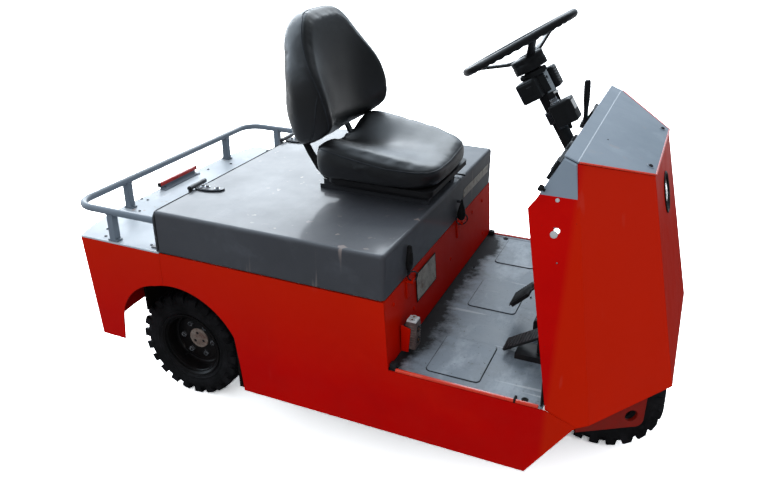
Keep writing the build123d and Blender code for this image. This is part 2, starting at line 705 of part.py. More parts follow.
def rim(disc_y, side):
    """Rim with its disc at disc_y, the outer face towards side * Y."""
    h = W_TYRE / 2
    rr = R_RIM
    b = h - FLANGE_IN
    c = b + FLANGE
    line = Polyline((-c, rr), (-b, rr), (-b, R_SEAT), (b, R_SEAT), (b, rr), (c, rr),
                    (c, R_SEAT - 5), (-c, R_SEAT - 5), close=True)
    well = revolve(Rot(0, 0, 90) * make_face(line), axis=Axis.Y)
    t = 7
    disc = cyl_y(0, 0, R_SEAT - 3, disc_y - t / 2, disc_y + t / 2)
    disc += cyl_y(0, 0, 44, *sorted((disc_y - side * HUB_IN, disc_y)))
    disc += cyl_y(0, 0, 33, *sorted((disc_y, disc_y + side * 7)))
    for i in range(NUTS):
        a = radians(3 + 360.0 * i / NUTS)
        y0, y1 = sorted((disc_y + side * t / 2, disc_y + side * 14))
        nut = Pos(BOLT_R * cos(a), (y0 + y1) / 2, BOLT_R * sin(a)) * Rot(90, 0, 0)
        disc += nut * extrude(RegularPolygon(11, 6), amount=(y1 - y0) / 2, both=True)
    return well + disc


def rear_wheel(side):
    out = Pos(X_RW, side * Y_RW, R_TYRE)
    disc_y = -side * DISC_IN
    wheel = rim(disc_y, side)
    wheel -= cyl_y(0, 0, STUB_R + RUN, *sorted((disc_y - side * 40, disc_y - side * 3)))
    return out * wheel


def front_rim():
    h = W_TYRE / 2
    rr = R_RIM
    wheel = rim(0, 1)
    wheel += cyl_y(0, 0, 44, -h - 6, h + 6)
    wheel -= cyl_y(0, 0, 14 + RUN, -120, 120)
    return Pos(X_FW, 0, R_TYRE) * wheel


def rear_axle():
    y = Y_RW - DISC_IN - HUB_IN - 1
    tube = cyl_y(X_RW, R_TYRE, 38, -y + 20, y - 20)
    for side in (-1, 1):
        y0, y1 = sorted((side * (y - 26), side * (y - 2)))
        tube += cyl_y(X_RW, R_TYRE, 66, y0, y1)
        y0, y1 = sorted((side * (y - 4), side * (Y_RW - DISC_IN - 4.5)))
        tube += cyl_y(X_RW, R_TYRE, STUB_R, y0, y1)
    case = cyl_y(X_RW, R_TYRE + 4, 96, -75, 55)
    case = chamfer(case.edges(), 12)
    tube += case
    tube += box(X_RW - 30, X_RW + 30, 150, 210, 230, 300.7)
    tube += box(X_RW - 30, X_RW + 30, -210, -150, 230, 300.7)
    return tube


def drive_motor():
    motor = cyl_x(-10, R_TYRE + 60, 84, X_RW + 96.3, X_RW + 306)
    motor += cyl_x(-10, R_TYRE + 60, 60, X_RW + 306, X_RW + 322)
    return motor


# ---------------------------------------------------------------- chassis
def chassis():
    """Welded frame: rails, belly plate, wheel bulkhead, crown and cheeks."""
    y = HALF_W - 8
    x0, x1, x2 = X_FOOT0 - 24, X_WALL, X_PLATE + 0.3
    z0, z1, z2 = Z_BELLY, Z_BELLY + 8, Z_FLOOR - 0.5
    frame = box(x0, x1, -y, y, z0, z1)
    frame += box(x1 - 8, x1, -y, y, z1, z2)
    frame += box(x0, x0 + 8, -y, y, z1, 400)
    for side in (-1, 1):
        y0, y1 = sorted((side * Y_ARM, side * (Y_ARM + BEAM)))
        frame += prism_y([(x2 + 2, 301), (x0, 301), (x0, z1), (x0 + 8, z1), (x0 + 8, 470),
                          (x2 + 2, 470)], y0, y1)
        y0, y1 = sorted((side * Y_BEAM, side * (Y_BEAM + BEAM)))
        frame += box(x0 + 8, x1 - 8, y0, y1, z1, z2)
    y = HALF_W - 210
    frame += box(x2, x2 + 10, -y, y, 290, 560)
    y = HALF_W - 4.5
    frame += box(x2, x2 + 10, -y, y, 470, 600)
    y = Y_ARM + BEAM
    frame += box(x2 + 10, x0, -y, y, 462, 470)
    y = Y_NOSE0 - 8
    frame += box(x1, HALF_L - 52, -y, y, Z_FLOOR - 9, z2)
    frame -= cyl_z(X_FW, 0, 56, Z_FLOOR - 15, Z_FLOOR + 15)
    for side in (-1, 1):
        frame += tow_cheek(side)
    return frame


def tow_cheek(side):
    """Plate with a tie-down hole under the cowl, and the shelf that carries it."""
    a = (X_CHIN - 12, side * (HALF_W - 80))
    b = (HALF_L - 62, side * (HALF_W - 188))
    dx, dy = b[0] - a[0], b[1] - a[1]
    n = sqrt(dx * dx + dy * dy)
    z = Z_FLOOR - 5
    cheek = box(0, n, -6, 6, z - 98, z)
    low = cheek.edges().filter_by(Axis.Y).sort_by(Axis.Z)[:2].sort_by(Axis.X)[-1:]
    cheek = fillet(low, 22)
    cheek -= cyl_y(n - 40, z - 58, 19, -20, 20)
    y = side * (Y_NOSE0 - 18)
    shelf = prism_z([(a[0], y), a, b, (b[0], y)], Z_FLOOR - 9, Z_FLOOR - 0.5)
    return Pos(a[0], a[1], 0) * Rot(0, 0, degrees(atan2(dy, dx))) * cheek + shelf


def battery():
    y = Y_BEAM - 6
    return box(X_FOOT0 + 6, X_HOOD1 - 28, -y, y, Z_BELLY + 8.3, 640)


def battery_plug():
    """Two-pole plug hanging on its bracket."""
    y = 100 - HALF_W
    x = X_KNEE + 12
    plug = box(x, x + 36, y, y + 42, 476, 572)
    plug = fillet(plug.edges().filter_by(Axis.Z), 5)
    for z in (505, 543):
        plug -= cyl_x(y + 21, z, 9, x + 24, x + 44)
    return plug


def plug_bracket():
    slope = (X_KNEE - X_HOOD1) / (Z_DECK - 3 - Z_FLOOR - 8)
    y = 100 - HALF_W
    x0 = X_HOOD1 + slope * (Z_DECK - 3 - 560) + 0.3
    x1 = X_HOOD1 + slope * (Z_DECK - 3 - 490) + 0.3
    foot = prism_y([(x0, 560), (x1, 490), (x1 + 4, 490), (x0 + 4, 560)], y - 12, y + 50)
    arm = box(x1 - 2, X_KNEE + 44, y - 6.5, y - 0.5, 500, 556)
    arm -= prism_y([(x0 - 30, 560), (x1 - 30, 490), (x1 + 1, 490), (x0 + 1, 560)],
                   y - OVER, y + OVER)
    return foot + arm


def brake_pedal():
    x = X_SILL
    arm = prism_y([(x - 180, 540), (x - 172, 546), (x - 78, 640), (x - 26.2, 658),
                   (x - 27, 672), (x - 82, 654)], -92, -80)
    pad = Box(8, 92, 74)
    pad = fillet(pad.edges().filter_by(Axis.X), 8)
    return arm + Pos(x - 178, -86, 545) * Rot(0, 45, 0) * pad


def accelerator():
    x = X_SILL
    base = box(x - 138, x - 38, -330, -250, Z_FLOOR + 4.2, Z_FLOOR + 22)
    tread = prism_y([(x - 178, 478), (x - 172, 474), (x - 38, 560), (x - 42, 568)], -325, -255)
    link = box(x - 78, x - 66, -300, -280, Z_FLOOR + 20, 545)
    return base + tread + link


def pedal_box():
    case = box(X_SILL - 118, X_SILL - 38, -180, -100, Z_FLOOR + 4.2, Z_FLOOR + 60)
    return fillet(case.edges().filter_by(Axis.Y), 8)


# ---------------------------------------------------------------- seat
def seat_rails():
    out = []
    for side in (-1, 1):
        y0, y1 = sorted((side * 95, side * 135))
        rail = box(-215, 175, y0, y1, Z_HOOD + 0.2, Z_HOOD + 16)
        rail += box(-205, 165, y0 + 8, y1 - 8, Z_HOOD + 16, Z_HOOD + 33)
        out.append(rail)
    lever = box(140, 150, 135, 170, Z_HOOD + 6, Z_HOOD + 12)
    lever += box(140, 206, 164, 170, Z_HOOD + 6, Z_HOOD + 12)
    out[1] += lever
    return out


def seat_pan():
    pan = box(-160, 205, -190, 190, Z_HOOD + 33.2, 889.7)
    pan = fillet(pan.edges().filter_by(Axis.Z), 24)
    pan = chamfer(pan.edges().sort_by(Axis.Z)[:8], 14)
    return pan


def seat_cushion():
    pts = [(-172, 890), (206, 890), (224, 922), (220, 955), (190, 970), (100, 962),
           (-30, 970), (-140, 1000), (-176, 992), (-184, 940)]
    w = SEAT_HALF
    pad = prism_y(pts, -w, w)
    half = [(-186, w - 27), (-150, w), (60, w), (150, w - 19), (205, w - 62), (224, w - 112)]
    plan = [(x, -y) for x, y in half] + [(x, y) for x, y in reversed(half)]
    return pad & prism_z(plan, 800, 1100)


def seat_back():
    half = [(0, 150), (14, 195), (60, 220), (160, 222), (220, 210), (270, 184),
            (350, 132), (390, 98), (430, 42)]
    outline = [(s, -w) for s, w in half] + [(s, w) for s, w in reversed(half)]
    face = make_face(Polyline(*outline, close=True))
    # outline lies in the plane of the back, its local X up the back
    block = Pos(0, 0, -100) * extrude(face, amount=240)
    prof = [(0, -40), (60, -55), (300, -55), (400, -45), (428, -12), (430, 35), (412, 55),
            (315, 68), (225, 93), (160, 110), (110, 119), (86, 112), (30, 50), (6, 10)]
    side = extrude(make_face(Polyline(*prof, close=True)), amount=600)
    side = Pos(0, 300, 0) * Rot(90, 0, 0) * side
    body = block & side
    a = radians(BACK_LEAN)
    seat = Plane(origin=(X_BACK, 0, Z_BACK), x_dir=(-sin(a), 0, cos(a)),
                 z_dir=(-cos(a), 0, -sin(a)))
    return seat * mirror(body, Plane.XY)


def back_bars():
    out = []
    for side in (-1, 1):
        y0, y1 = sorted((side * 135, side * 163))
        a = radians(BACK_LEAN)

        def at(s, n):
            return (X_BACK - sin(a) * s + cos(a) * n, Z_BACK + cos(a) * s + sin(a) * n)
        pts = [at(130, -55.4), at(60, -55.4), at(0, -41), (-236, 956), (-206, 912), (-180, 885),
               (-160.3, 880), (-160.3, 872), (-184, 876), (-213, 905), (-244, 952),
               at(0, -49), at(58, -63.4), at(130, -63.4)]
        out.append(prism_y(pts, y0, y1))
    return out


def main():
    save("chassis_frame", chassis())
    save("rear_body", rear_body())
    save("rear_deck", rear_deck())
    save("side_skirt_right", side_skirt(-1))
    save("side_skirt_left", side_skirt(1))
    save("kneeboard", kneeboard())
    save("floor_plate", floor_plate())
    save("sill_trim", *sill_trim())
    save("hood_bulkhead", bulkhead(), *hinge_half(False))
    save("hood", hood())
    save("hood_hinge_straps", *hinge_half(True))
    save("hood_latches", *hood_latches())
    save("latch_catches", *latch_catches())
    save("guard_rail", guard_rail())
    save("release_bar", release_bracket(), release_handle())
    save("tow_coupling", coupling())
    save("coupling_pin", coupling_pin())
    save("cowl", cowl())
    save("headlamp", headlamp())
    save("cowl_top_plate", top_plate())
    save("console_panel", console_panel())
    save("instruments", *instruments())
    save("direction_lever", console_lever())
    save("toe_board", toe_board())
    save("steering_wheel", steering_wheel())
    save("steering_column", steering_column())
    save("column_switches", column_switches(), ignition_box())
    save("steer_gearbox", steer_gearbox())
    save("front_fork", front_fork() + front_axle())
    save("front_rim", front_rim())
    one = tyre()
    save("front_tyre", Pos(X_FW, 0, R_TYRE) * one)
    save("rear_tyre_right", Pos(X_RW, -Y_RW, R_TYRE) * one)
    save("rear_tyre_left", Pos(X_RW, Y_RW, R_TYRE) * one)
    save("rear_rim_right", rear_wheel(-1))
    save("rear_rim_left", rear_wheel(1))
    save("rear_axle", rear_axle())
    save("drive_motor", drive_motor())
    save("battery", battery())
    save("battery_plug", battery_plug(), plug_bracket())
    save("pedals", brake_pedal(), accelerator(), pedal_box())
    save("seat_rails", *seat_rails())
    save("seat_pan", seat_pan())
    save("seat_cushion", seat_cushion())
    save("seat_back", seat_back())
    save("seat_back_bars", *back_bars())


main()
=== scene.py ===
"""Looks of the airport baggage tug, in metres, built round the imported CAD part."""
import math

import bmesh
import bpy
from mathutils import Matrix, Vector, bvhtree, kdtree


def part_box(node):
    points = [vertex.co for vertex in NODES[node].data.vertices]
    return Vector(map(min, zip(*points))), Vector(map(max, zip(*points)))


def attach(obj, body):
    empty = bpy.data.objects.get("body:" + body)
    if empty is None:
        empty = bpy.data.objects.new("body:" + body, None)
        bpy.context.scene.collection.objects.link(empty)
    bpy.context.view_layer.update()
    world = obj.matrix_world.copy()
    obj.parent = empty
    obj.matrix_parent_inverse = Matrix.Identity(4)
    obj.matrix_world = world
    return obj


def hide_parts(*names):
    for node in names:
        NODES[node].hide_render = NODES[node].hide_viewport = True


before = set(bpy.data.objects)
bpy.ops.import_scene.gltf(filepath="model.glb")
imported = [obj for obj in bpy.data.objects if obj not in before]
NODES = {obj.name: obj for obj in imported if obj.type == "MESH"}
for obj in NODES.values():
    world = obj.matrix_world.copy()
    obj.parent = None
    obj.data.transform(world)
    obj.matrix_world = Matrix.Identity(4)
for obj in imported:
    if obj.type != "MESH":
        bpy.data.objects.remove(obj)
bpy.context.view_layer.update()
SCENE = bpy.context.scene
SCENE.view_settings.view_transform = "Standard"


# ---------------------------------------------------------------- camera
CAM_AT = Vector((0.9133, -2.1910, 1.7145))
CAM_AZIMUTH = math.radians(23.418)
CAM_ELEVATION = math.radians(24.919)
CAM_ROLL = math.radians(0.339)
CAM_LENS = 34.158


def make_camera():
    """Camera at the viewing angle, from azimuth, elevation and roll."""
    ca, sa = math.cos(CAM_AZIMUTH), math.sin(CAM_AZIMUTH)
    ce, se = math.cos(CAM_ELEVATION), math.sin(CAM_ELEVATION)
    back = Vector((sa * ce, -ca * ce, se))
    ahead = -back
    right = ahead.cross(Vector((0, 0, 1))).normalized()
    up = right.cross(ahead)
    cr, sr = math.cos(CAM_ROLL), math.sin(CAM_ROLL)
    right2 = right * cr + up * sr
    up2 = up * cr - right * sr
    data = bpy.data.cameras.new("camera")
    data.sensor_width = 36
    data.lens = CAM_LENS
    data.clip_start = 0.05
    cam = bpy.data.objects.new("camera", data)
    cam.matrix_world = Matrix((
        (right2.x, up2.x, back.x, CAM_AT.x),
        (right2.y, up2.y, back.y, CAM_AT.y),
        (right2.z, up2.z, back.z, CAM_AT.z),
        (0, 0, 0, 1)))
    SCENE.collection.objects.link(cam)
    SCENE.camera = cam


make_camera()


# ---------------------------------------------------------------- node helpers
def node(tree, kind, inputs=None, **props):
    """A shader node with its properties and inputs; a socket value is linked."""
    n = tree.nodes.new(kind)
    for key, value in props.items():
        setattr(n, key, value)
    for key, value in (inputs or {}).items():
        if isinstance(value, bpy.types.NodeSocket):
            tree.links.new(value, n.inputs[key])
        else:
            n.inputs[key].default_value = value
    return n


def mixed(tree, factor, a, b):
    """Colour between a and b by factor; a and b are colours or sockets."""
    n = node(tree, "ShaderNodeMix", {0: factor, 6: a, 7: b}, data_type="RGBA")
    return n.outputs[2]


def noise(tree, co, scale, detail=4.0, rough=0.55, stretch=None, distort=0.0):
    """Noise factor socket; stretch scales the coordinates first."""
    if stretch:
        co = node(tree, "ShaderNodeMapping", {"Vector": co, "Scale": stretch}).outputs[0]
    n = node(tree, "ShaderNodeTexNoise",
             {"Vector": co, "Scale": scale, "Detail": detail, "Roughness": rough,
              "Distortion": distort})
    return n.outputs["Fac"]


def span(tree, value, low, high, out0=0.0, out1=1.0):
    """Value stretched from low..high to out0..out1, clamped."""
    n = node(tree, "ShaderNodeMapRange",
             {"Value": value, "From Min": low, "From Max": high,
              "To Min": out0, "To Max": out1})
    return n.outputs[0]


def times(tree, a, b):
    return node(tree, "ShaderNodeMath", {0: a, 1: b}, operation="MULTIPLY").outputs[0]


def most(tree, a, b):
    return node(tree, "ShaderNodeMath", {0: a, 1: b}, operation="MAXIMUM").outputs[0]


def rgb(code):
    """Linear colour of a #RRGGBB code."""
    out = []
    for i in (1, 3, 5):
        c = int(code[i:i + 2], 16) / 255
        out.append(c / 12.92 if c <= 0.04045 else ((c + 0.055) / 1.055) ** 2.4)
    return (*out, 1.0)


def new_material(name):
    """Material, its tree, its shader and object coordinates."""
    m = bpy.data.materials.new(name)
    m.use_nodes = True
    tree = m.node_tree
    shader = tree.nodes["Principled BSDF"]
    co = node(tree, "ShaderNodeTexCoord").outputs["Object"]
    return m, tree, shader, co


def bump(tree, shader, height, strength, distance, edge=0.0):
    """Bumps the surface, and rounds its sharp edges by the radius edge."""
    ins = {"Height": height, "Strength": strength, "Distance": distance}
    if edge:
        ins["Normal"] = node(tree, "ShaderNodeBevel", {"Radius": edge}, samples=4).outputs[0]
    n = node(tree, "ShaderNodeBump", ins)
    tree.links.new(n.outputs[0], shader.inputs["Normal"])
    return n.outputs[0]


def edge_mask(tree, radius, low=0.02, high=0.25):
    """1 on sharp edges, 0 on flats."""
    soft = node(tree, "ShaderNodeBevel", {"Radius": radius}, samples=4).outputs[0]
    flat = node(tree, "ShaderNodeNewGeometry").outputs["Normal"]
    dot = node(tree, "ShaderNodeVectorMath", {0: soft, 1: flat}, operation="DOT_PRODUCT")
    return span(tree, dot.outputs["Value"], 1.0 - low, 1.0 - high)


# ---------------------------------------------------------------- materials
def paint(name, base, shade, light, rough=(0.28, 0.45), coat=0.25, chips=0.6, dirt=0.35,
          spec=0.4, metallic=0.0, streaks=0.25, edge=0.003, wear="#241C1A", high=None,
          under=None):
    """Sprayed sheet steel: clouded colour, dust low down, scratches, chips, orange peel. High
    paints light onto upper rear parts and the cowl's front; under paints near-black shade onto
    the rear part.
    """
    m, t, s, co = new_material(name)
    cloud = span(t, noise(t, co, 2.6, 5, 0.6), 0.32, 0.7)
    colour = mixed(t, cloud, rgb(base), rgb(shade))
    patch = span(t, noise(t, co, 7.0, 6, 0.65, distort=0.4), 0.56, 0.74, 0.0, 0.5)
    colour = mixed(t, patch, colour, rgb(light))
    xyz = node(t, "ShaderNodeSeparateXYZ", {0: co}).outputs
    # painted light: high turns the paint a lighter, oranger red on upper parts (z 0.35-0.72 m)
    # behind x 0.3-0.5 m, and on the cowl's front face beyond x 0.67-0.69 m
    if high:
        back = times(t, span(t, xyz["Z"], 0.35, 0.72), span(t, xyz["X"], 0.5, 0.3))
        painted_light = span(t, most(t, back, span(t, xyz["X"], 0.672, 0.69)), 0.0, 1.0, 0.0, 0.7)
        colour = mixed(t, painted_light, colour, rgb(high))
    # painted shade: under turns the paint near black behind x 0.42-0.5 m, for the shade under
    # the body
    if under:
        colour = mixed(t, span(t, xyz["X"], 0.5, 0.42), colour, rgb(under))
    low = span(t, xyz["Z"], 0.62, 0.2)
    dust = times(t, low, span(t, noise(t, co, 11, 7, 0.7), 0.4, 0.75, 0.0, dirt))
    colour = mixed(t, dust, colour, rgb("#3A2A22"))
    scratch = noise(t, co, 26, 2, 0.5, stretch=(1.0, 1.0, 0.05))
    scratch = times(t, span(t, scratch, 0.66, 0.69), span(t, noise(t, co, 5, 2), 0.5, 0.62))
    scratch = times(t, scratch, streaks)
    colour = mixed(t, scratch, colour, rgb("#9A8A84"))
    speck = span(t, noise(t, co, 150, 2, 0.5), 0.745, 0.765, 0.0, chips)
    area = span(t, noise(t, co, 3.1, 2, 0.5), 0.5, 0.6)
    speck = times(t, speck, area)
    colour = mixed(t, speck, colour, rgb("#241C1A"))
    rim = times(t, edge_mask(t, edge * 0.7), span(t, noise(t, co, 38, 5, 0.7), 0.5, 0.62))
    colour = mixed(t, times(t, rim, chips), colour, rgb(wear))
    t.links.new(colour, s.inputs["Base Color"])
    rub = noise(t, co, 5.5, 6, 0.7)
    r = span(t, rub, 0.3, 0.7, rough[0], rough[1])
    r = most(t, r, span(t, dust, 0.0, 0.4, 0.0, 0.75))
    t.links.new(r, s.inputs["Roughness"])
    s.inputs["Metallic"].default_value = metallic
    s.inputs["Specular IOR Level"].default_value = spec
    s.inputs["Coat Weight"].default_value = coat
    s.inputs["Coat Roughness"].default_value = 0.12
    peel = noise(t, co, 240, 2, 0.5)
    wave = noise(t, co, 9, 2, 0.5)
    height = node(t, "ShaderNodeMath", {0: times(t, wave, 6.0), 1: peel}, operation="ADD")
    bump(t, s, height.outputs[0], 0.10, 0.001, edge)
    return m


def rubber(name, base, dusty, rough=(0.6, 0.85), grain=420, strength=0.25, dust=0.5):
    m, t, s, co = new_material(name)
    f = span(t, noise(t, co, 14, 7, 0.7), 0.42, 0.72, 0.0, dust)
    t.links.new(mixed(t, f, rgb(base), rgb(dusty)), s.inputs["Base Color"])
    t.links.new(span(t, noise(t, co, 20, 4), 0.3, 0.7, *rough), s.inputs["Roughness"])
    s.inputs["Specular IOR Level"].default_value = 0.35
    bump(t, s, noise(t, co, grain, 3, 0.6), strength, 0.0008, 0.003)
    return m


def plastic(name, base, pale, rough=(0.32, 0.5), grain=700):
    m, t, s, co = new_material(name)
    f = span(t, noise(t, co, 18, 5, 0.65), 0.5, 0.8, 0.0, 0.6)
    t.links.new(mixed(t, f, rgb(base), rgb(pale)), s.inputs["Base Color"])
    t.links.new(span(t, noise(t, co, 24, 4), 0.3, 0.7, *rough), s.inputs["Roughness"])
    bump(t, s, noise(t, co, grain, 2, 0.5), 0.15, 0.0004, 0.002)
    return m


def metal(name, base, stain, rust=0.3, rough=(0.25, 0.45), metallic=0.9, grain=90):
    """Bare or plated steel with stains and specks of rust."""
    m, t, s, co = new_material(name)
    f = span(t, noise(t, co, 30, 5, 0.7), 0.42, 0.7)
    colour = mixed(t, f, rgb(base), rgb(stain))
    r = span(t, noise(t, co, grain, 6, 0.75), 0.52, 0.68, 0.0, rust)
    colour = mixed(t, r, colour, rgb("#5A2E1C"))
    t.links.new(colour, s.inputs["Base Color"])
    t.links.new(span(t, r, 0.0, max(rust, 0.01), rough[0], rough[1] + 0.3),
                s.inputs["Roughness"])
    t.links.new(span(t, r, 0.0, max(rust, 0.01), metallic, metallic * 0.4),
                s.inputs["Metallic"])
    bump(t, s, noise(t, co, grain * 2, 4, 0.6), 0.2, 0.0006, 0.0015)
    return m


def vinyl(name):
    """Black grained vinyl with a broad sheen and faint creasing."""
    m, t, s, co = new_material(name)
    f = span(t, noise(t, co, 6, 5, 0.6), 0.4, 0.7)
    t.links.new(mixed(t, f, rgb("#090A0C"), rgb("#0F1013")), s.inputs["Base Color"])
    t.links.new(span(t, noise(t, co, 9, 5, 0.6), 0.3, 0.7, 0.34, 0.46),
                s.inputs["Roughness"])
    s.inputs["Specular IOR Level"].default_value = 1.0
    s.inputs["Coat Weight"].default_value = 0.2
    s.inputs["Coat Roughness"].default_value = 0.25
    cells = node(t, "ShaderNodeTexVoronoi", {"Vector": co, "Scale": 620.0},
                 feature="DISTANCE_TO_EDGE").outputs["Distance"]
    grain = span(t, cells, 0.0, 0.25)
    crease = noise(t, co, 22, 5, 0.6, distort=1.2)
    height = node(t, "ShaderNodeMath", {0: times(t, crease, 1.6), 1: grain},
                  operation="ADD").outputs[0]
    bump(t, s, height, 0.16, 0.0006)
    return m


def floor_covering(name):
    """Worn grey floor plate: scuffs, rubbed patches, specks, and a painted shadow by the
    kneeboard.
    """
    m, t, s, co = new_material(name)
    cloud = span(t, noise(t, co, 4.5, 6, 0.65, distort=0.6), 0.34, 0.66)
    colour = mixed(t, cloud, rgb("#5C6670"), rgb("#75818D"))
    rub = span(t, noise(t, co, 9, 7, 0.7, stretch=(1, 0.55, 1)), 0.5, 0.72, 0.0, 0.7)
    colour = mixed(t, rub, colour, rgb("#A4B0BC"))
    grime = span(t, noise(t, co, 15, 8, 0.75), 0.54, 0.7, 0.0, 0.45)
    colour = mixed(t, grime, colour, rgb("#3A4046"))
    scratch = noise(t, co, 30, 2, 0.5, stretch=(0.08, 1.0, 1.0))
    scratch = times(t, span(t, scratch, 0.66, 0.69), 0.35)
    colour = mixed(t, scratch, colour, rgb("#C4CCD4"))
    speck = span(t, noise(t, co, 120, 2, 0.5), 0.70, 0.73, 0.0, 0.8)
    colour = mixed(t, speck, colour, rgb("#1A1C1E"))
    # painted shadow: near black over the floor's rear next to the kneeboard, up to about x
    # 0.14-0.3 m, with a ragged edge
    xyz = node(t, "ShaderNodeSeparateXYZ", {0: co}).outputs
    ragged = node(t, "ShaderNodeMath", {0: xyz["X"], 1: times(t, noise(t, co, 7, 8, 0.7), 0.24)},
                  operation="SUBTRACT").outputs[0]
    black = span(t, ragged, 0.19, 0.135, 0.0, 0.97)
    colour = mixed(t, black, colour, rgb("#040405"))
    t.links.new(colour, s.inputs["Base Color"])
    t.links.new(most(t, span(t, cloud, 0.0, 1.0, 0.36, 0.5), span(t, black, 0, 1, 0.0, 0.8)),
                s.inputs["Roughness"])
    s.inputs["Specular IOR Level"].default_value = 0.5
    bump(t, s, noise(t, co, 160, 4, 0.6), 0.25, 0.0012, 0.003)
    return m


def lamp_glass(name):
    """Clear glass with a faint tint and dust."""
    m, t, s, co = new_material(name)
    f = span(t, noise(t, co, 25, 5, 0.7), 0.5, 0.8, 0.02, 0.2)
    t.links.new(f, s.inputs["Roughness"])
    t.links.new(mixed(t, f, rgb("#F4F8FA"), rgb("#D8DCDE")), s.inputs["Base Color"])
    s.inputs["Transmission Weight"].default_value = 1.0
    s.inputs["IOR"].default_value = 1.45
    return m


MATS = {}


def make_materials():
    M = MATS
    # painted light: the red's high colour lights up the upper rear body and the cowl's front
    # face
    M["red"] = paint("red_paint", "#B00400", "#A40000", "#B40C00", rough=(0.3, 0.42),
                     coat=0.0, spec=0.05, dirt=0.1, streaks=0.03, high="#AE1E00")
    # painted shade: the frame's under colour is near black behind x 0.42-0.5 m, for the shade
    # under the body
    M["frame_red"] = paint("frame_red_paint", "#8A1004", "#6A0C04", "#942014",
                           rough=(0.45, 0.65), coat=0.0, dirt=0.8, chips=0.9, spec=0.2,
                           under="#0E0C0B")
    M["hood"] = paint("hood_grey_paint", "#3B3E45", "#32353C", "#4C515A",
                      rough=(0.52, 0.66), coat=0.3, dirt=0.1, spec=1.0, chips=0.8,
                      streaks=0.5, edge=0.007, wear="#8A9298")
    # painted highlight: a much lighter copy of the panel grey, for the bar along the top plate's
    # bend
    M["bend_highlight"] = paint("bend_highlight_paint", "#B4C0CC", "#9CA9B6", "#DDE4EA",
                            rough=(0.3, 0.45), coat=0.1, dirt=0.1, streaks=0.05)
    M["panel"] = paint("panel_grey_paint", "#7D8A98", "#71808E", "#8F9CAA",
                       rough=(0.34, 0.5), coat=0.1, dirt=0.1, chips=0.4)
    M["deck"] = paint("deck_grey_paint", "#AEB8C2", "#9AA4AE", "#CCD4DA",
                      rough=(0.35, 0.6), coat=0.05, dirt=0.2, chips=0.9, spec=0.6,
                      streaks=0.8)
    M["rail"] = paint("rail_grey_paint", "#68737F", "#5A6672", "#8894A0",
                      rough=(0.28, 0.42), coat=0.2, dirt=0.1, chips=0.7)
    # painted shade: the seat's slide rails are painted near black for the shade under the seat
    M["rail_shade"] = paint("rail_shade_paint", "#2A2D32", "#202226", "#3A3E44",
                            rough=(0.34, 0.5), coat=0.1, dirt=0.3, chips=0.7)
    M["black_paint"] = paint("black_chassis_paint", "#161618", "#0E0E10", "#242426",
                             rough=(0.4, 0.6), coat=0.0, dirt=0.6)
    M["rim"] = paint("rim_black_paint", "#0C0C0E", "#080809", "#17171A",
                     rough=(0.28, 0.42), coat=0.1, dirt=0.15, chips=0.4, spec=0.5)
    M["tyre"] = rubber("tyre_rubber", "#0D0D0F", "#26252A", dust=0.55)
    M["rubber"] = rubber("soft_rubber", "#0F0F10", "#242426")
    M["floor"] = floor_covering("floor_covering")
    M["plastic"] = plastic("black_plastic", "#0F1012", "#1E2023")
    M["plug_plastic"] = plastic("plug_plastic", "#4A3C3A", "#8C7C78", rough=(0.4, 0.55))
    M["grey_plastic"] = plastic("grey_plastic", "#6C6A66", "#8C8A84")
    M["pale_plastic"] = plastic("pale_plastic", "#A6ABAD", "#C4C8CA")
    M["steel"] = metal("plated_steel", "#A8ACB2", "#7C8086")
    M["dark_steel"] = metal("dark_steel", "#3C4046", "#26282C", rust=0.25, metallic=0.7)
    M["rusty"] = metal("rusty_hub", "#93877F", "#6E5850", rust=0.75, rough=(0.45, 0.6),
                       metallic=0.35, grain=60)
    M["cast"] = metal("cast_iron", "#2C2D30", "#1E1F22", rust=0.35, rough=(0.5, 0.65),
                      metallic=0.5)
    M["vinyl"] = vinyl("seat_vinyl")
    M["seam"] = plastic("seam_piping", "#22262C", "#3A4048", rough=(0.3, 0.4))
    M["spoke_pale"] = plastic("pale_lever", "#7E8890", "#949EA6", rough=(0.35, 0.5))
    M["label"] = plastic("blank_label", "#B4B8BA", "#989C9E", rough=(0.4, 0.55))
    M["dial_face"] = plastic("dial_face", "#141618", "#1C1E20", rough=(0.3, 0.4))
    M["redmark"] = plastic("red_plastic", "#B01810", "#C83A2C", rough=(0.25, 0.35))
    M["amber"] = plastic("amber_plastic", "#C8780A", "#DA9A3A", rough=(0.2, 0.3))
    M["green"] = plastic("green_plastic", "#1E8A3A", "#4AA860", rough=(0.2, 0.3))
    M["copper"] = metal("contact_copper", "#B0764A", "#7A4A2E", rust=0.1)
    M["worn_plate"] = metal("worn_plate", "#A8A49C", "#7C756E", rust=0.45, metallic=0.35,
                            rough=(0.4, 0.55), grain=45)
    # painted highlight: a light red-orange copy of the red paint, for the lit edges of the top
    # plate and the sills
    M["lip_highlight"] = paint("lip_highlight_paint", "#D8402A", "#C42C14", "#F0705A",
                         rough=(0.2, 0.35), coat=0.6, spec=0.8, dirt=0.1, chips=0.5)
    M["glass"] = lamp_glass("headlamp_glass")
    M["spoke"] = plastic("spoke_edge", "#3A3E42", "#5A5E62", rough=(0.25, 0.4))
    M["mirror"] = metal("lamp_reflector", "#D8DADC", "#C0C4C8", rust=0.0,
                        rough=(0.08, 0.14), metallic=1.0)


# ---------------------------------------------------------------- mesh helpers
MM = 0.001
CLOTH_FRAMES = 15
EASE_STEPS = 6
SEAM_STEP = 0.004         # metres between points along a sunk seam

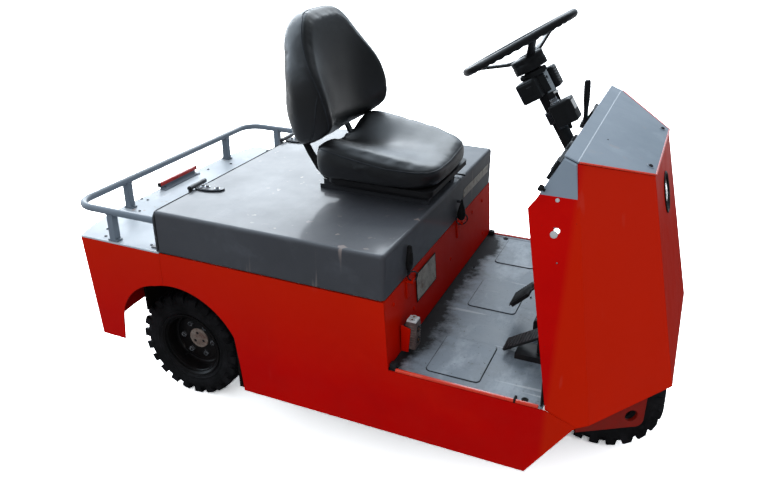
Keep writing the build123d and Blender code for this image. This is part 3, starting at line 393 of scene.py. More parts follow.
# corners of the CAD part in its middle plane, in millimetres
FRONT_WHEEL_AT = (782.5, 0, 207.5)
CONSOLE_FOOT, CONSOLE_TOP = Vector((567, 0, 1000)), Vector((637, 0, 1139))
PLATE_FOLD, PLATE_FRONT = Vector((670, 0, 1131)), Vector((848, 0, 1064))
NOSE_FOOT, NOSE_TOP = Vector((990, 0, 468)), Vector((848, 0, 1061))
LAMP_HEIGHT = 937.0


def vec(x, y, z):
    return Vector((x * MM, y * MM, z * MM))


def lerp(a, b, t):
    return a + (b - a) * t


def table(x, points):
    """Height at x of a smooth line through (x, height) points."""
    if x <= points[0][0]:
        return points[0][1]
    for (x0, a), (x1, b) in zip(points, points[1:]):
        if x <= x1:
            t = (x - x0) / (x1 - x0)
            return lerp(a, b, t * t * (3 - 2 * t) * 0.5 + t * 0.5)
    return points[-1][1]


def frame_at(origin, z_dir, x_hint=(1, 0, 0)):
    """Matrix whose local Z runs along z_dir, in millimetres inside."""
    z = Vector(z_dir).normalized()
    x = Vector(x_hint)
    x = x - z * x.dot(z)
    if x.length < 1e-4:
        x = Vector((0, 1, 0)) - z * z.y
    x.normalize()
    y = z.cross(x)
    m = Matrix((x, y, z)).transposed().to_4x4()
    return Matrix.Translation(Vector(origin)) @ m


class Kit:
    """Parts of one piece, gathered in one mesh. Sizes are in millimetres."""

    def __init__(self, *mats):
        self.bm = bmesh.new()
        self.names = list(mats)
        self.at = Matrix.Identity(4)
        self.mat = 0

    def use(self, name):
        if name not in self.names:
            self.names.append(name)
        self.mat = self.names.index(name)
        return self

    def put(self, part, matrix=None):
        """Adds a bmesh to the piece."""
        for f in part.faces:
            f.material_index = self.mat
        part.transform(self.at @ (matrix or Matrix.Identity(4)))
        if (self.at.to_3x3() @ (matrix or Matrix.Identity(4)).to_3x3()).determinant() < 0:
            bmesh.ops.reverse_faces(part, faces=part.faces)
        me = bpy.data.meshes.new("part")
        part.to_mesh(me)
        part.free()
        self.bm.from_mesh(me)
        bpy.data.meshes.remove(me)
        return self

    def box(self, lo, hi, bevel=0.0, segs=2, matrix=None):
        """Box from corner to corner."""
        part = bmesh.new()
        bmesh.ops.create_cube(part, size=1.0)
        lo, hi = Vector(lo), Vector(hi)
        for v in part.verts:
            v.co = Vector(((v.co.x + 0.5) * (hi.x - lo.x) + lo.x,
                           (v.co.y + 0.5) * (hi.y - lo.y) + lo.y,
                           (v.co.z + 0.5) * (hi.z - lo.z) + lo.z))
        if bevel:
            bmesh.ops.bevel(part, geom=part.edges[:], offset=bevel, segments=segs,
                            profile=0.6, affect="EDGES", clamp_overlap=True)
        return self.put(part, matrix)

    def prism(self, outline, z0, z1, bevel=0.0, segs=2, matrix=None):
        """Outline in local XY, from z0 to z1."""
        part = bmesh.new()
        low = [part.verts.new((x, y, z0)) for x, y in outline]
        high = [part.verts.new((x, y, z1)) for x, y in outline]
        n = len(outline)
        part.faces.new(low[::-1])
        part.faces.new(high)
        for i in range(n):
            j = (i + 1) % n
            part.faces.new((low[i], low[j], high[j], high[i]))
        bmesh.ops.recalc_face_normals(part, faces=part.faces)
        if bevel:
            rims = [e for e in part.edges if abs(e.verts[0].co.z - e.verts[1].co.z) < 1e-6]
            bmesh.ops.bevel(part, geom=rims, offset=bevel, segments=segs, profile=0.6,
                            affect="EDGES", clamp_overlap=True)
        return self.put(part, matrix)

    def lathe(self, profile, segs=48, closed=False, matrix=None):
        """Profile of (radius, height) turned about local Z."""
        part = bmesh.new()
        rings = []
        for r, h in profile:
            if r < 1e-6:
                rings.append([part.verts.new((0, 0, h))] * segs)
                continue
            ring = []
            for i in range(segs):
                a = 2 * math.pi * i / segs
                ring.append(part.verts.new((r * math.cos(a), r * math.sin(a), h)))
            rings.append(ring)
        pairs = list(zip(rings, rings[1:]))
        if closed:
            pairs.append((rings[-1], rings[0]))
        for a, b in pairs:
            for i in range(segs):
                j = (i + 1) % segs
                quad = []
                for v in (a[i], a[j], b[j], b[i]):
                    if v not in quad:
                        quad.append(v)
                if len(quad) > 2:
                    part.faces.new(quad)
        bmesh.ops.recalc_face_normals(part, faces=part.faces)
        return self.put(part, matrix)

    def tube(self, points, r, segs=10, closed=False):
        """Round bar along points."""
        pts = [Vector(p) for p in points]
        n = len(pts)
        part = bmesh.new()
        rings = []
        side = None
        for i, p in enumerate(pts):
            a = pts[(i - 1) % n] if closed or i else p
            b = pts[(i + 1) % n] if closed or i < n - 1 else p
            d = (b - a).normalized()
            s = d.cross(Vector((0, 0, 1))) if side is None else side - d * side.dot(d)
            if s.length < 1e-5:
                s = d.cross(Vector((1, 0.3, 0)))
            side = s.normalized()
            top = side.cross(d)
            rad = r[i] if isinstance(r, (list, tuple)) else r
            ring = []
            for k in range(segs):
                w = 2 * math.pi * k / segs
                ring.append(part.verts.new(p + side * rad * math.cos(w)
                                           + top * rad * math.sin(w)))
            rings.append(ring)
        pairs = list(zip(rings, rings[1:]))
        if closed:
            pairs.append((rings[-1], rings[0]))
        for a, b in pairs:
            for k in range(segs):
                m = (k + 1) % segs
                part.faces.new((a[k], a[m], b[m], b[k]))
        if not closed:
            part.faces.new(rings[0][::-1])
            part.faces.new(rings[-1])
        bmesh.ops.recalc_face_normals(part, faces=part.faces)
        return self.put(part)

    def hexagon(self, r, z0, z1, matrix=None, chamfer=1.2):
        """Bolt head or nut across corners 2 r."""
        prof = [(0, z0), (r, z0), (r, z1 - chamfer), (r - chamfer * 1.4, z1), (0, z1)]
        return self.lathe(prof, 6, matrix=matrix)

    def make(self, name, body, replaces=(), sharp=38.0):
        """Ends the piece: smooth shading with sharp edges, riding on its body."""
        me = bpy.data.meshes.new(name)
        self.bm.to_mesh(me)
        self.bm.free()
        me.transform(Matrix.Scale(MM, 4))
        for n in self.names:
            me.materials.append(MATS[n])
        me.shade_smooth()
        me.set_sharp_from_angle(angle=math.radians(sharp))
        ob = bpy.data.objects.new(name, me)
        SCENE.collection.objects.link(ob)
        return settle(ob, body, replaces)


def settle(ob, body, replaces=()):
    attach(ob, body)
    if replaces:
        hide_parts(*([replaces] if isinstance(replaces, str) else replaces))
    return ob


# ---------------------------------------------------------------- wheels
R_TYRE, R_RIM, R_SEAT = 207.5, 128.0, 112.0
LUGS = 22


def wheel_frame(x, y, z, side):
    """Local Z points outboard, along side * Y."""
    return frame_at((x, y, z), (0, side, 0))


def tyre(name, x, y, z, node_name, body, turn):
    """Chunky lug tyre with ribbed sidewalls."""
    kit = Kit("tyre")
    m = wheel_frame(x, y, z, 1)
    wall = [(R_SEAT + 1, 42), (124, 43), (131, 45.5), (135, 48.5), (139, 49.5), (141, 51.5),
            (144.5, 51.5), (147, 50.5), (156, 53), (164, 54.5), (166, 54.2), (168, 55),
            (171, 55), (173, 53.8), (180, 52.5), (187, 49), (193, 43), (196, 33), (196.8, 12)]
    prof = wall + [(r, -h) for r, h in reversed(wall)]
    kit.lathe(prof, 132, closed=True, matrix=m)
    rows = [(3.5, 207.2, 194.0, 7.0, 13.0), (16, 207.4, 194.0, 8.5, 9.5),
            (30, 207.4, 193.0, 11.0, 4.5), (42, 207.0, 191.0, 13.5, 0.5),
            (51.0, 205.4, 186.0, 15.0, -1.0), (54.6, 201.5, 179.0, 15.6, -1.0),
            (55.0, 184.0, 174.0, 14.6, -1.0), (54.3, 174.0, 170.5, 13.2, -1.0)]
    part = bmesh.new()
    for i in range(LUGS):
        for side in (-1, 1):
            base = 2 * math.pi * (i + (0.5 if side > 0 else 0.0)) / LUGS + turn
            rings = []
            for k, (w, top, foot, half, off) in enumerate(rows):
                ring = []
                foot_w = w if k < 5 else 47.0
                for r, c, ww in ((foot, -half - 1.6, foot_w), (top - 1.2, -half, w),
                                 (top, -half + 1.6, w), (top, half - 1.6, w),
                                 (top - 1.2, half, w), (foot, half + 1.6, foot_w)):
                    a = base + side * (off + c * side) / 200.0
                    ring.append(part.verts.new((r * math.cos(a), r * math.sin(a),
                                                side * ww)))
                rings.append(ring)
            for a, b in zip(rings, rings[1:]):
                for q in range(6):
                    p = (q + 1) % 6
                    part.faces.new((a[q], a[p], b[p], b[q]))
            part.faces.new(rings[0][::-1])
            part.faces.new(rings[-1])
    bmesh.ops.recalc_face_normals(part, faces=part.faces)
    kit.put(part, m)
    return kit.make(name, body, node_name, sharp=30)


def wheel_well(kit, m):
    """Rolled rim well with its curled lips."""
    lip = [(113.0, 43.0), (127.4, 43.0), (129.4, 45.0), (129.8, 47.6), (128.2, 49.6),
           (125.4, 49.4), (122.8, 47.2), (119.0, 44.4), (114.5, 42.4), (110.2, 38.0),
           (108.2, 31.0), (107.4, 22.0)]
    loop = lip + [(r, -h) for r, h in reversed(lip)]
    kit.lathe(loop, 96, closed=True, matrix=m)


def wheel_disc(kit, m, middle, side):
    """Pressed disc with its nuts, hub face and valve; middle is its mid plane."""
    f = Matrix.Translation((0, 0, middle)) @ Matrix.Scale(side, 4, (0, 0, 1))
    m = m @ f
    front = [(107.4, 6.0), (106.0, 1.0), (102.0, -2.2), (97.0, -2.8), (93.0, -1.0),
             (90.0, 2.6), (86.0, 3.5), (36.0, 3.5)]
    back = [(36.0, -3.5), (84.0, -3.5), (89.0, -5.0), (94.0, -8.6), (103.0, -9.0),
            (108.0, -4.0)]
    kit.use("rim").lathe(front + back, 80, closed=True, matrix=m)
    for i in range(6):
        a = math.radians(3 + 60 * i)
        n = m @ Matrix.Translation((65 * math.cos(a), 65 * math.sin(a), 0))
        kit.use("rim").lathe([(15, 3.4), (14.2, 5.2), (12.4, 5.6), (0, 5.6)], 24, matrix=n)
        kit.use("steel").lathe([(11.2, 5.4), (11.2, 11.6), (9.8, 13.4), (6.6, 13.4),
                                (6.2, 11.0)], 6, matrix=n)
        kit.use("cast").lathe([(6.4, 5.0), (6.4, 11.2), (5.2, 12.6), (0, 12.6)], 12, matrix=n)
    v = m @ Matrix.Translation((96 * math.cos(2.2), 96 * math.sin(2.2), 0))
    kit.use("rubber").lathe([(5, -3), (4.6, 8), (3.4, 11), (3.2, 24), (2.6, 25), (0, 25)],
                            12, matrix=v)
    return m


def hub_face(kit, m):
    """Rusty hub face with dark discs on it that paint the shade of its drilled holes."""
    kit.use("rusty")
    kit.lathe([(41.0, 2.0), (40.0, 5.6), (38.4, 7.0), (33.0, 7.0), (32.0, 6.2), (31.0, 6.2),
               (30.0, 6.8), (13.0, 6.8), (12.2, 5.4), (0, 5.4)], 48, matrix=m)
    # painted shade: dark discs laid on the face stand for the holes' shade; no holes are cut
    for i in range(3):
        a = math.radians(20 + 120 * i)
        n = m @ Matrix.Translation((22 * math.cos(a), 22 * math.sin(a), 0))
        kit.use("cast").lathe([(6.0, 6.9), (5.4, 7.15), (0, 7.15)], 16, matrix=n)


def rear_wheels():
    rows = ((-1, "right", 0.05), (1, "left", 0.9))
    for side, word, turn in rows:
        y = side * 318.0
        tyre(f"rear_tyre_{word}_tread", -664, y, 207.5, f"rear_tyre_{word}",
             f"rear_wheel_{word}", turn)
        kit = Kit("rim")
        m = wheel_frame(-664, y, 207.5, 1)
        wheel_well(kit, m)
        d = wheel_disc(kit, m, -side * 12.0, side)
        hub_face(kit, d)
        kit.use("rim").lathe([(44, -3), (44, -30), (30, -30), (30, -3)], 40, closed=True,
                             matrix=d)
        kit.make(f"rear_rim_{word}_pressed", f"rear_wheel_{word}", f"rear_rim_{word}")


def front_wheel():
    tyre("front_tyre_tread", *FRONT_WHEEL_AT, "front_tyre", "front_wheel", 0.11)
    kit = Kit("rim")
    m = wheel_frame(*FRONT_WHEEL_AT, 1)
    wheel_well(kit, m)
    wheel_disc(kit, m, 0.0, 1)
    for side in (1, -1):
        s = m @ Matrix.Scale(side, 4, (0, 0, 1))
        kit.use("rim").lathe([(44, 3), (44, 40), (40, 46), (28, 54), (14.4, 54), (14.4, 3)],
                             40, closed=True, matrix=s)
    kit.make("front_rim_pressed", "front_wheel", "front_rim")


# ---------------------------------------------------------------- seat
def soft_skin(kit_bm, name, mat, cap, pressure=4.0, voxel=0.006):
    """Padded skin: remeshed, swelled by a short cloth run, and smoothed."""
    me = bpy.data.meshes.new(name)
    kit_bm.to_mesh(me)
    kit_bm.free()
    me.transform(Matrix.Scale(MM, 4))
    me.materials.append(MATS[mat])
    ob = bpy.data.objects.new(name, me)
    SCENE.collection.objects.link(ob)
    bpy.context.view_layer.objects.active = ob
    re = ob.modifiers.new("voxels", "REMESH")
    re.mode = "VOXEL"
    re.voxel_size = voxel
    re.use_smooth_shade = True
    sm = ob.modifiers.new("even", "CORRECTIVE_SMOOTH")
    sm.use_only_smooth = True
    sm.iterations = 8
    bake(ob)
    rest = [v.co.copy() for v in ob.data.vertices]
    cl = ob.modifiers.new("cloth", "CLOTH")
    st = cl.settings
    st.quality = 4
    st.mass = 0.3
    st.tension_stiffness = 12
    st.compression_stiffness = 12
    st.bending_stiffness = 2.0
    st.use_pressure = True
    st.uniform_pressure_force = pressure
    st.effector_weights.gravity = 0.0
    cl.collision_settings.use_collision = False
    for frame_no in range(1, CLOTH_FRAMES + 1):
        SCENE.frame_set(frame_no)
    bake(ob)
    SCENE.frame_set(1)
    for v, p in zip(ob.data.vertices, rest):
        d = v.co - p
        if d.length > cap * MM:
            v.co = p + d.normalized() * cap * MM
    ease = ob.modifiers.new("ease", "SMOOTH")
    ease.factor = 0.5
    ease.iterations = EASE_STEPS
    sub = ob.modifiers.new("fine", "SUBSURF")
    sub.levels = sub.render_levels = 1
    bake(ob)
    ob.data.shade_smooth()
    return ob


def bake(ob):
    """Applies every modifier of a piece."""
    dg = bpy.context.evaluated_depsgraph_get()
    me = bpy.data.meshes.new_from_object(ob.evaluated_get(dg))
    old = ob.data
    ob.modifiers.clear()
    ob.data = me
    bpy.data.meshes.remove(old)


def crease(ob, line, width, depth, closed=False):
    """Sinks a stitched seam into a padded skin, along a line in metres."""
    tree = point_tree(dense(line, SEAM_STEP, closed))
    w, d = width * MM, depth * MM
    normals = [v.normal.copy() for v in ob.data.vertices]
    for v, nor in zip(ob.data.vertices, normals):
        _, _, gap = tree.find(v.co)
        if gap < w:
            k = 0.5 + 0.5 * math.cos(math.pi * gap / w)
            v.co -= nor * d * k * k


def point_tree(pts):
    """Search tree of points."""
    tree = kdtree.KDTree(len(pts))
    for i, p in enumerate(pts):
        tree.insert(p, i)
    tree.balance()
    return tree


def dense(line, step, closed=False):
    """Smooth points along a line, at about one step apart."""
    pts = [Vector(p) for p in line]
    out = []
    n = len(pts)
    for i in range(n if closed else n - 1):
        p0 = pts[(i - 1) % n] if closed or i else pts[0]
        p1, p2 = pts[i], pts[(i + 1) % n]
        p3 = pts[(i + 2) % n] if closed or i + 2 < n else p2
        k = max(1, int((p2 - p1).length / step))
        for j in range(k):
            t = j / k
            out.append(0.5 * ((2 * p1) + (p2 - p0) * t + (2 * p0 - 5 * p1 + 4 * p2 - p3) * t * t
                              + (3 * p1 - p0 - 3 * p2 + p3) * t ** 3))
    if not closed:
        out.append(pts[-1])
    return out


def on_skin(ob, line, step, lift, closed=False):
    """The line laid on a skin, in millimetres."""
    tree = bvhtree.BVHTree.FromObject(ob, bpy.context.evaluated_depsgraph_get())
    out = []
    for p in dense(line, step, closed):
        near, nor, _, _ = tree.find_nearest(p)
        out.append((near + nor * lift * MM) / MM)
    return out


SEAM_Z = [(-184, 992), (-167, 992), (-112, 984), (-58, 975), (-3, 966), (58, 959),
          (105, 956), (200, 953), (230, 953)]
WING_Z = [(-199, 1002), (-165, 1014), (-116, 1009), (-53, 1000), (0, 992), (77, 981),
          (143, 968), (190, 960), (220, 955)]
MID_Z = [(-184, 964), (-140, 962), (-80, 963), (0, 966), (80, 968), (140, 964),
         (190, 955), (220, 948)]


def sag(y):
    """How much less the far side of the worn cushion has sunk than the side in use."""
    t = max(0.0, min(1.0, (y + 110) / 300))
    return 22.0 * t * t * (3 - 2 * t)


def seat_outline():
    """Plan of the cushion's seam, anticlockwise, in millimetres."""
    half = [(-184, 0), (-188, 60), (-196, 120), (-199, 160), (-195, 190), (-178, 209),
            (-150, 217), (-90, 219), (-20, 219), (50, 217), (100, 209), (139, 200),
            (175, 182), (198, 157), (209, 128), (213, 90), (215, 45), (216, 0)]
    pts = [(x, -y) for x, y in half] + [(x, y) for x, y in reversed(half)][1:-1]
    line = dense([vec(x, y, 0) for x, y in pts], 0.009, closed=True)
    return [(p.x / MM, p.y / MM) for p in line]


def seat_cushion():
    ring = seat_outline()
    n = len(ring)
    part = bmesh.new()
    levels = []
    # the side panel, from the pan up to the seam
    for drop, inset in ((1.0, 30.0), (0.985, 12.0), (0.9, 5.0), (0.6, -2.5), (0.3, -3.0),
                        (0.1, 0.5), (0.0, 4.0)):
        row = []
        for x, y in ring:
            r = math.hypot(x - 10, y)
            k = (r - inset) / r
            zs = table(x, SEAM_Z) - 3 + 0.5 * sag(y)
            z = lerp(zs, 891.5, drop)
            row.append(part.verts.new((10 + (x - 10) * k, y * k, z)))
        levels.append(row)
    # the top panel
    for s in (0.975, 0.94, 0.89, 0.82, 0.74, 0.64, 0.52, 0.4, 0.28, 0.16, 0.06):
        row = []
        for x, y in ring:
            px, py = 10 + (x - 10) * s, y * s
            wing = table(px, WING_Z)
            mid = table(px, MID_Z)
            t = min(1.0, abs(py) / 165.0)
            top = lerp(mid, wing, t * t * (3 - 2 * t)) - 4 + sag(py)
            zs = table(x, SEAM_Z) - 3 + 0.5 * sag(y)
            e = min(1.0, (1 - s) / 0.24)
            round_off = math.sqrt(max(0.0, 1 - (1 - e) ** 2))
            z = lerp(zs, top, round_off)
            row.append(part.verts.new((px, py, z)))
        levels.append(row)
    for a, b in zip(levels, levels[1:]):
        for i in range(n):
            j = (i + 1) % n
            part.faces.new((a[i], a[j], b[j], b[i]))
    part.faces.new(levels[0][::-1])
    part.faces.new(levels[-1])
    bmesh.ops.recalc_face_normals(part, faces=part.faces)
    ob = soft_skin(part, "seat_cushion_skin", "vinyl", cap=4.0)
    seam = [vec(x, y, table(x, SEAM_Z) + 0.5 * sag(y)) for x, y in ring[::4]]
    crease(ob, seam, 9, 2.2, closed=True)
    kit = Kit("seam")
    kit.tube(on_skin(ob, seam, 0.006, 0.6, closed=True), 1.5, 6, closed=True)
    kit.make("seat_cushion_seam", "hood_body", ())
    settle(ob, "hood_body", "seat_cushion")


LEAN = math.radians(13.0)


def back_point(s, y, n):
    """Point of the backrest in millimetres, s up it and n ahead of its plane."""
    return Vector((-209 - math.sin(LEAN) * s + math.cos(LEAN) * n, y,
                   987 + math.cos(LEAN) * s + math.sin(LEAN) * n))


# height up the back: half width, wing front, middle front, rear, side seam
BACK = [(0, 140, -24, -30, -58, 0), (8, 178, 8, 0, -72, 0), (22, 204, 50, 24, -78, 0),
        (38, 215, 84, 42, -80, 0), (52, 222, 104, 50, -80, 0), (80, 230, 114, 54, -79, 0),
        (115, 236, 117, 56, -77, 0), (150, 238, 115, 57, -72, 0), (185, 238, 109, 58, -63, 0),
        (220, 235, 99, 58, -55, 0), (255, 225, 86, 58, -50, 0), (290, 208, 73, 57, -48, 0),
        (325, 189, 62, 55, -47, 0), (358, 168, 55, 52, -45, 0), (386, 143, 50, 48, -38, 0),
        (404, 119, 45, 44, -28, 0), (416, 92, 39, 38, -17, 0), (423, 60, 31, 30, -6, 0)]


def back_section(row):
    """Closed section of the backrest at one height: (y, n), from the near wing round."""
    _, w, wing, mid, rear, _ = row
    out = []
    for i in range(-14, 15):
        t = i / 14
        k = abs(t) ** 2.6
        y = w * 0.93 * t
        n = lerp(mid, wing, k)
        out.append((y, n))
    depth = wing - rear
    side = [(0.97, 0.02), (1.0, 0.09), (1.0, 0.2), (0.995, 0.34), (0.985, 0.5), (0.97, 0.66),
            (0.93, 0.8), (0.86, 0.9), (0.74, 0.97)]
    out += [(w * a, wing - depth * b) for a, b in side]
    out += [(w * 0.5, rear - 1), (w * 0.25, rear - 2), (0, rear - 2), (-w * 0.25, rear - 2),
            (-w * 0.5, rear - 1)]
    out += [(-w * a, wing - depth * b) for a, b in reversed(side)]
    return out


def seat_back():
    part = bmesh.new()
    rings = []
    for row in BACK:
        rings.append([part.verts.new(back_point(row[0], y, n)) for y, n in back_section(row)])
    m = len(rings[0])
    for a, b in zip(rings, rings[1:]):
        for i in range(m):
            j = (i + 1) % m
            part.faces.new((a[i], a[j], b[j], b[i]))
    part.faces.new(rings[0][::-1])
    part.faces.new(rings[-1])
    bmesh.ops.recalc_face_normals(part, faces=part.faces)
    ob = soft_skin(part, "seat_back_skin", "vinyl", cap=4.0)
    kit = Kit("seam")
    front, lower = [], []
    for side in (-1, 1):
        line = []
        for s, w, wing, _, _, _ in BACK[4:-1]:
            line.append(back_point(s, side * w, wing - 13) * MM)
        if side < 0:
            front = line
        else:
            front += reversed(line)
    crease(ob, front, 8, 2.4)
    kit.tube(on_skin(ob, front, 0.006, 0.6), 1.5, 6)
    for side in (-1, 1):
        lower = [back_point(s, side * w, n) * MM for s, w, n in
                 ((165, 233, 90), (140, 234, 78), (110, 231, 66), (75, 225, 48),
                  (45, 216, 28), (22, 203, 8), (6, 176, -12))]
        crease(ob, lower, 8, 2.0)
        kit.tube(on_skin(ob, lower, 0.006, 0.5), 1.3, 6)
    kit.make("seat_back_seams", "hood_body", ())
    settle(ob, "hood_body", "seat_back")


# ---------------------------------------------------------------- steering
SW_AT = (399.0, 0.0, 1334.0)
SW_LEAN = math.radians(32.3)
COLUMN = Matrix.Translation(SW_AT) @ Matrix((
    (math.cos(SW_LEAN), 0, -math.sin(SW_LEAN), 0),
    (0, 1, 0, 0),
    (math.sin(SW_LEAN), 0, math.cos(SW_LEAN), 0),
    (0, 0, 0, 1)))


def steering_wheel():
    kit = Kit("plastic")
    kit.at = COLUMN
    part = bmesh.new()
    big, small = 173.5, 12.4
    n, k = 360, 18
    rings = []
    for i in range(n):
        a = 2 * math.pi * i / n
        grip = 0.5 + 0.5 * math.cos(40 * a)
        ring = []
        for j in range(k):
            w = 2 * math.pi * j / k
            under = max(0.0, -math.sin(w) * 0.8 - math.cos(w) * 0.45)
            r = small - 2.6 * grip * min(1.0, under * 1.3)
            ring.append(part.verts.new(((big + r * math.cos(w)) * math.cos(a),
                                        (big + r * math.cos(w)) * math.sin(a),
                                        r * math.sin(w))))
        rings.append(ring)
    for i in range(n):
        a, b = rings[i], rings[(i + 1) % n]
        for j in range(k):
            m = (j + 1) % k
            part.faces.new((a[j], a[m], b[m], b[j]))
    bmesh.ops.recalc_face_normals(part, faces=part.faces)
    kit.put(part)
    for a in (60, 180, 300):
        turn = Matrix.Rotation(math.radians(a), 4, "Z")
        line = [(40, -45, 16, 5.5), (56, -43, 15.5, 5), (84, -33, 13.5, 4.5),
                (115, -21, 12.5, 4.5), (145, -9, 13, 5), (168, -1, 16.5, 5.5)]
        for mat, half, thick, lift in (("plastic", 1.0, 1.0, 0.0), ("spoke", 0.72, 0.4, 3.2)):
            bar = bmesh.new()
            rows = []
            for r, z, w, t in line:
                ww, tt, zz = w * half, t * thick, z + lift
                rows.append([bar.verts.new((r, y, zz + h)) for y, h in
                             ((-ww, -tt * 0.4), (-ww * 0.8, tt), (ww * 0.8, tt),
                              (ww, -tt * 0.4), (ww * 0.7, -tt), (-ww * 0.7, -tt))])
            for p, q in zip(rows, rows[1:]):
                for j in range(6):
                    m = (j + 1) % 6
                    bar.faces.new((p[j], p[m], q[m], q[j]))
            bar.faces.new(rows[0][::-1])
            bar.faces.new(rows[-1])
            bmesh.ops.recalc_face_normals(bar, faces=bar.faces)
            kit.use(mat).put(bar, turn)
    kit.use("plastic").lathe([(34, -86), (49, -86), (50.5, -84), (50.5, -62), (49.4, -60.5),
                              (49.4, -58), (50.5, -56.5), (50.5, -46), (48, -42.4),
                              (44, -41.2), (42.5, -42.2), (41, -41), (24, -40.4), (22, -38),
                              (12, -37), (0, -36.6)], 56)
    kit.use("spoke").lathe([(50.2, -47.6), (51.2, -47), (51.2, -44.6), (49.6, -42.8)], 56)
    kit.use("plastic").lathe([(34, -86), (34, -48), (0, -48)], 40)
    kit.use("dark_steel").lathe([(0, -127), (9, -127), (9, -47), (0, -47)], 24)
    kit.make("steering_wheel_moulded", "steering_wheel_body", "steering_wheel")


# ---------------------------------------------------------------- controls on the column
def column_switches():
    """Switch housings, wiper lever, stalk, and the key switch box."""
    kit = Kit("plastic")
    kit.at = COLUMN
    # near switch housing with its ribbed edge
    kit.box((-50, -74, -169), (10, -16, -105), 7, 3)
    for i in range(7):
        z = -160 + i * 8
        kit.box((-51.6, -66, z), (-48.5, -26, z + 3.4), 1.0, 1)
    kit.box((-44, -75.4, -162), (4, -73, -112), 1.2, 2)
    kit.box((-20, -77.2, -150), (-4, -74, -124), 1.5, 2)
    # far switch housing
    kit.box((-9, 17, -170), (49, 73, -104), 7, 3)
    for i in range(6):
        z = -160 + i * 9
        kit.box((48, 24, z), (50.4, 66, z + 4), 1.0, 1)
    # clamp round the column and its screws
    kit.lathe([(21.6, -165), (31, -165), (32, -163), (32, -111), (31, -109), (21.6, -109)], 40,
              closed=True)
    kit.use("dark_steel")
    for y in (-12, 12):
        kit.lathe([(0, 0), (5, 0), (5, 3), (4, 4), (0, 4)], 12,
                  matrix=frame_at((31, y, -125), (1, 0, 0)))
    # stalk with a ball end, rising towards the driver
    kit.use("plastic")
    kit.tube([(-4, -30, -107), (-9, -36, -103), (-15, -43, -99), (-20, -49, -97)],
             [4.6, 4.2, 3.8, 4.2], 12)
    ball = [(9.0 * math.sin(math.pi * i / 10), -9.0 * math.cos(math.pi * i / 10))
            for i in range(11)]
    ball[0], ball[-1] = (0, -9.0), (0, 9.0)
    kit.lathe(ball, 20, matrix=Matrix.Translation((-22, -51, -95)))
    # pale ribbed lever plate between the housings
    kit.use("spoke_pale")
    m = frame_at((27, -12, -138), (0.18, -0.98, 0.0), (1, 0, 0))
    kit.box((-13, -34, -1.6), (13, 34, 1.6), 1.0, 1, matrix=m)
    for i in range(6):
        y = 30 - i * 7
        kit.box((-11.5, y - 2.2, 1.2), (11.5, y + 2.2, 3.0), 0.8, 1, matrix=m)
    # wiring sleeve down the column
    kit.use("rubber")
    kit.tube([(26, 22, -168), (24, 24, -200), (22, 18, -240), (22, 10, -300)], 6.5, 10)
    # key switch box and its bracket
    kit.use("plastic").box((11, -77, -273), (77, -15, -203), 6, 3)
    kit.use("dark_steel").box((-2, -30, -284), (26, -14, -262), 2, 1)
    kit.lathe([(21.6, -262), (27, -262), (27.6, -260), (27.6, -226), (27, -224), (21.6, -224)],
              32, closed=True)
    kit.use("plastic").box((76.0, -70, -246), (78.4, -26, -207), 0.8, 2)
    kit.use("label").box((77.4, -66, -241), (79.0, -30, -212), 0.6, 1)
    # collar that closes the gap under the wheel's hub
    kit.use("plastic").lathe([(21.6, -108), (38, -108), (40, -106), (40, -93), (38, -91),
                              (21.6, -91)], 40, closed=True)
    # barrel with its nut, the key and its tag
    kit.use("steel").lathe([(0, -204), (14.5, -204), (14.5, -199), (13.0, -197.5),
                            (11.2, -197), (11.2, -188), (10, -186.4), (0, -186.4)], 28,
                           matrix=Matrix.Translation((30, -50, 0)))
    kit.use("plastic").box((19.5, -54.5, -187), (40.5, -45.5, -167), 3, 2)
    kit.use("label").box((40, -53, -176), (54, -44, -170), 1.5, 2)
    kit.make("column_switch_housings", "chassis", "column_switches")


def console(s, y, out=0.0):
    """Frame on the console: s up it from its foot, y across, Z out of it."""
    foot, top = CONSOLE_FOOT, CONSOLE_TOP
    up = (top - foot).normalized()
    outward = Vector((-up.z, 0, up.x))
    at = foot + up * s + outward * out
    m = Matrix((Vector((0, -1, 0)), up, outward)).transposed().to_4x4()
    return Matrix.Translation(Vector((at.x, y, at.z))) @ m


def dial(kit, m, r, needle):
    """Round gauge: bezel ring, pale face with plain graduations, and needle."""
    kit.use("plastic").lathe([(r, 0), (r, 9), (r - 1.5, 11), (r - 4.5, 11.4), (r - 6, 9),
                              (r - 6.4, 5)], 48, matrix=m)
    kit.use("dial_face").lathe([(r - 6.2, 5.4), (0, 5.4)], 40, matrix=m)
    for i in range(11):
        t = m @ Matrix.Rotation(math.radians(130 - 26 * i), 4, "Z")
        long = 7 if i % 5 == 0 else 4
        kit.use("label").box((-0.7, r - 10 - long, 5.5), (0.7, r - 9, 6.0), matrix=t)
    t = m @ Matrix.Rotation(math.radians(needle), 4, "Z")
    kit.use("redmark").box((-0.9, -5, 6.6), (0.9, r - 13, 7.3), matrix=t)
    kit.use("plastic").lathe([(3.6, 5.4), (3.6, 8), (2.4, 8.8), (0, 9)], 16, matrix=m)


def bezel(kit, m, w, h):
    """Rounded rectangular bezel, w and h its half sides, round a sunk panel."""
    kit.use("plastic")
    kit.box((-w, -h, 0.2), (w, h, 6.5), 4, 2, matrix=m)
    for lo, hi in (((-w, -h, 5), (w, -h + 5, 10.6)), ((-w, h - 5, 5), (w, h, 10.6)),
                   ((-w, -h, 5), (-w + 5, h, 10.6)), ((w - 5, -h, 5), (w, h, 10.6))):
        kit.box(lo, hi, 1.8, 2, matrix=m)
    for x in (-w + 2.6, w - 2.6):
        n = m @ Matrix.Translation((x, 0, 10.4))
        kit.use("steel").lathe([(0, -0.5), (1.9, -0.5), (1.9, 0.5), (0, 0.9)], 10, matrix=n)


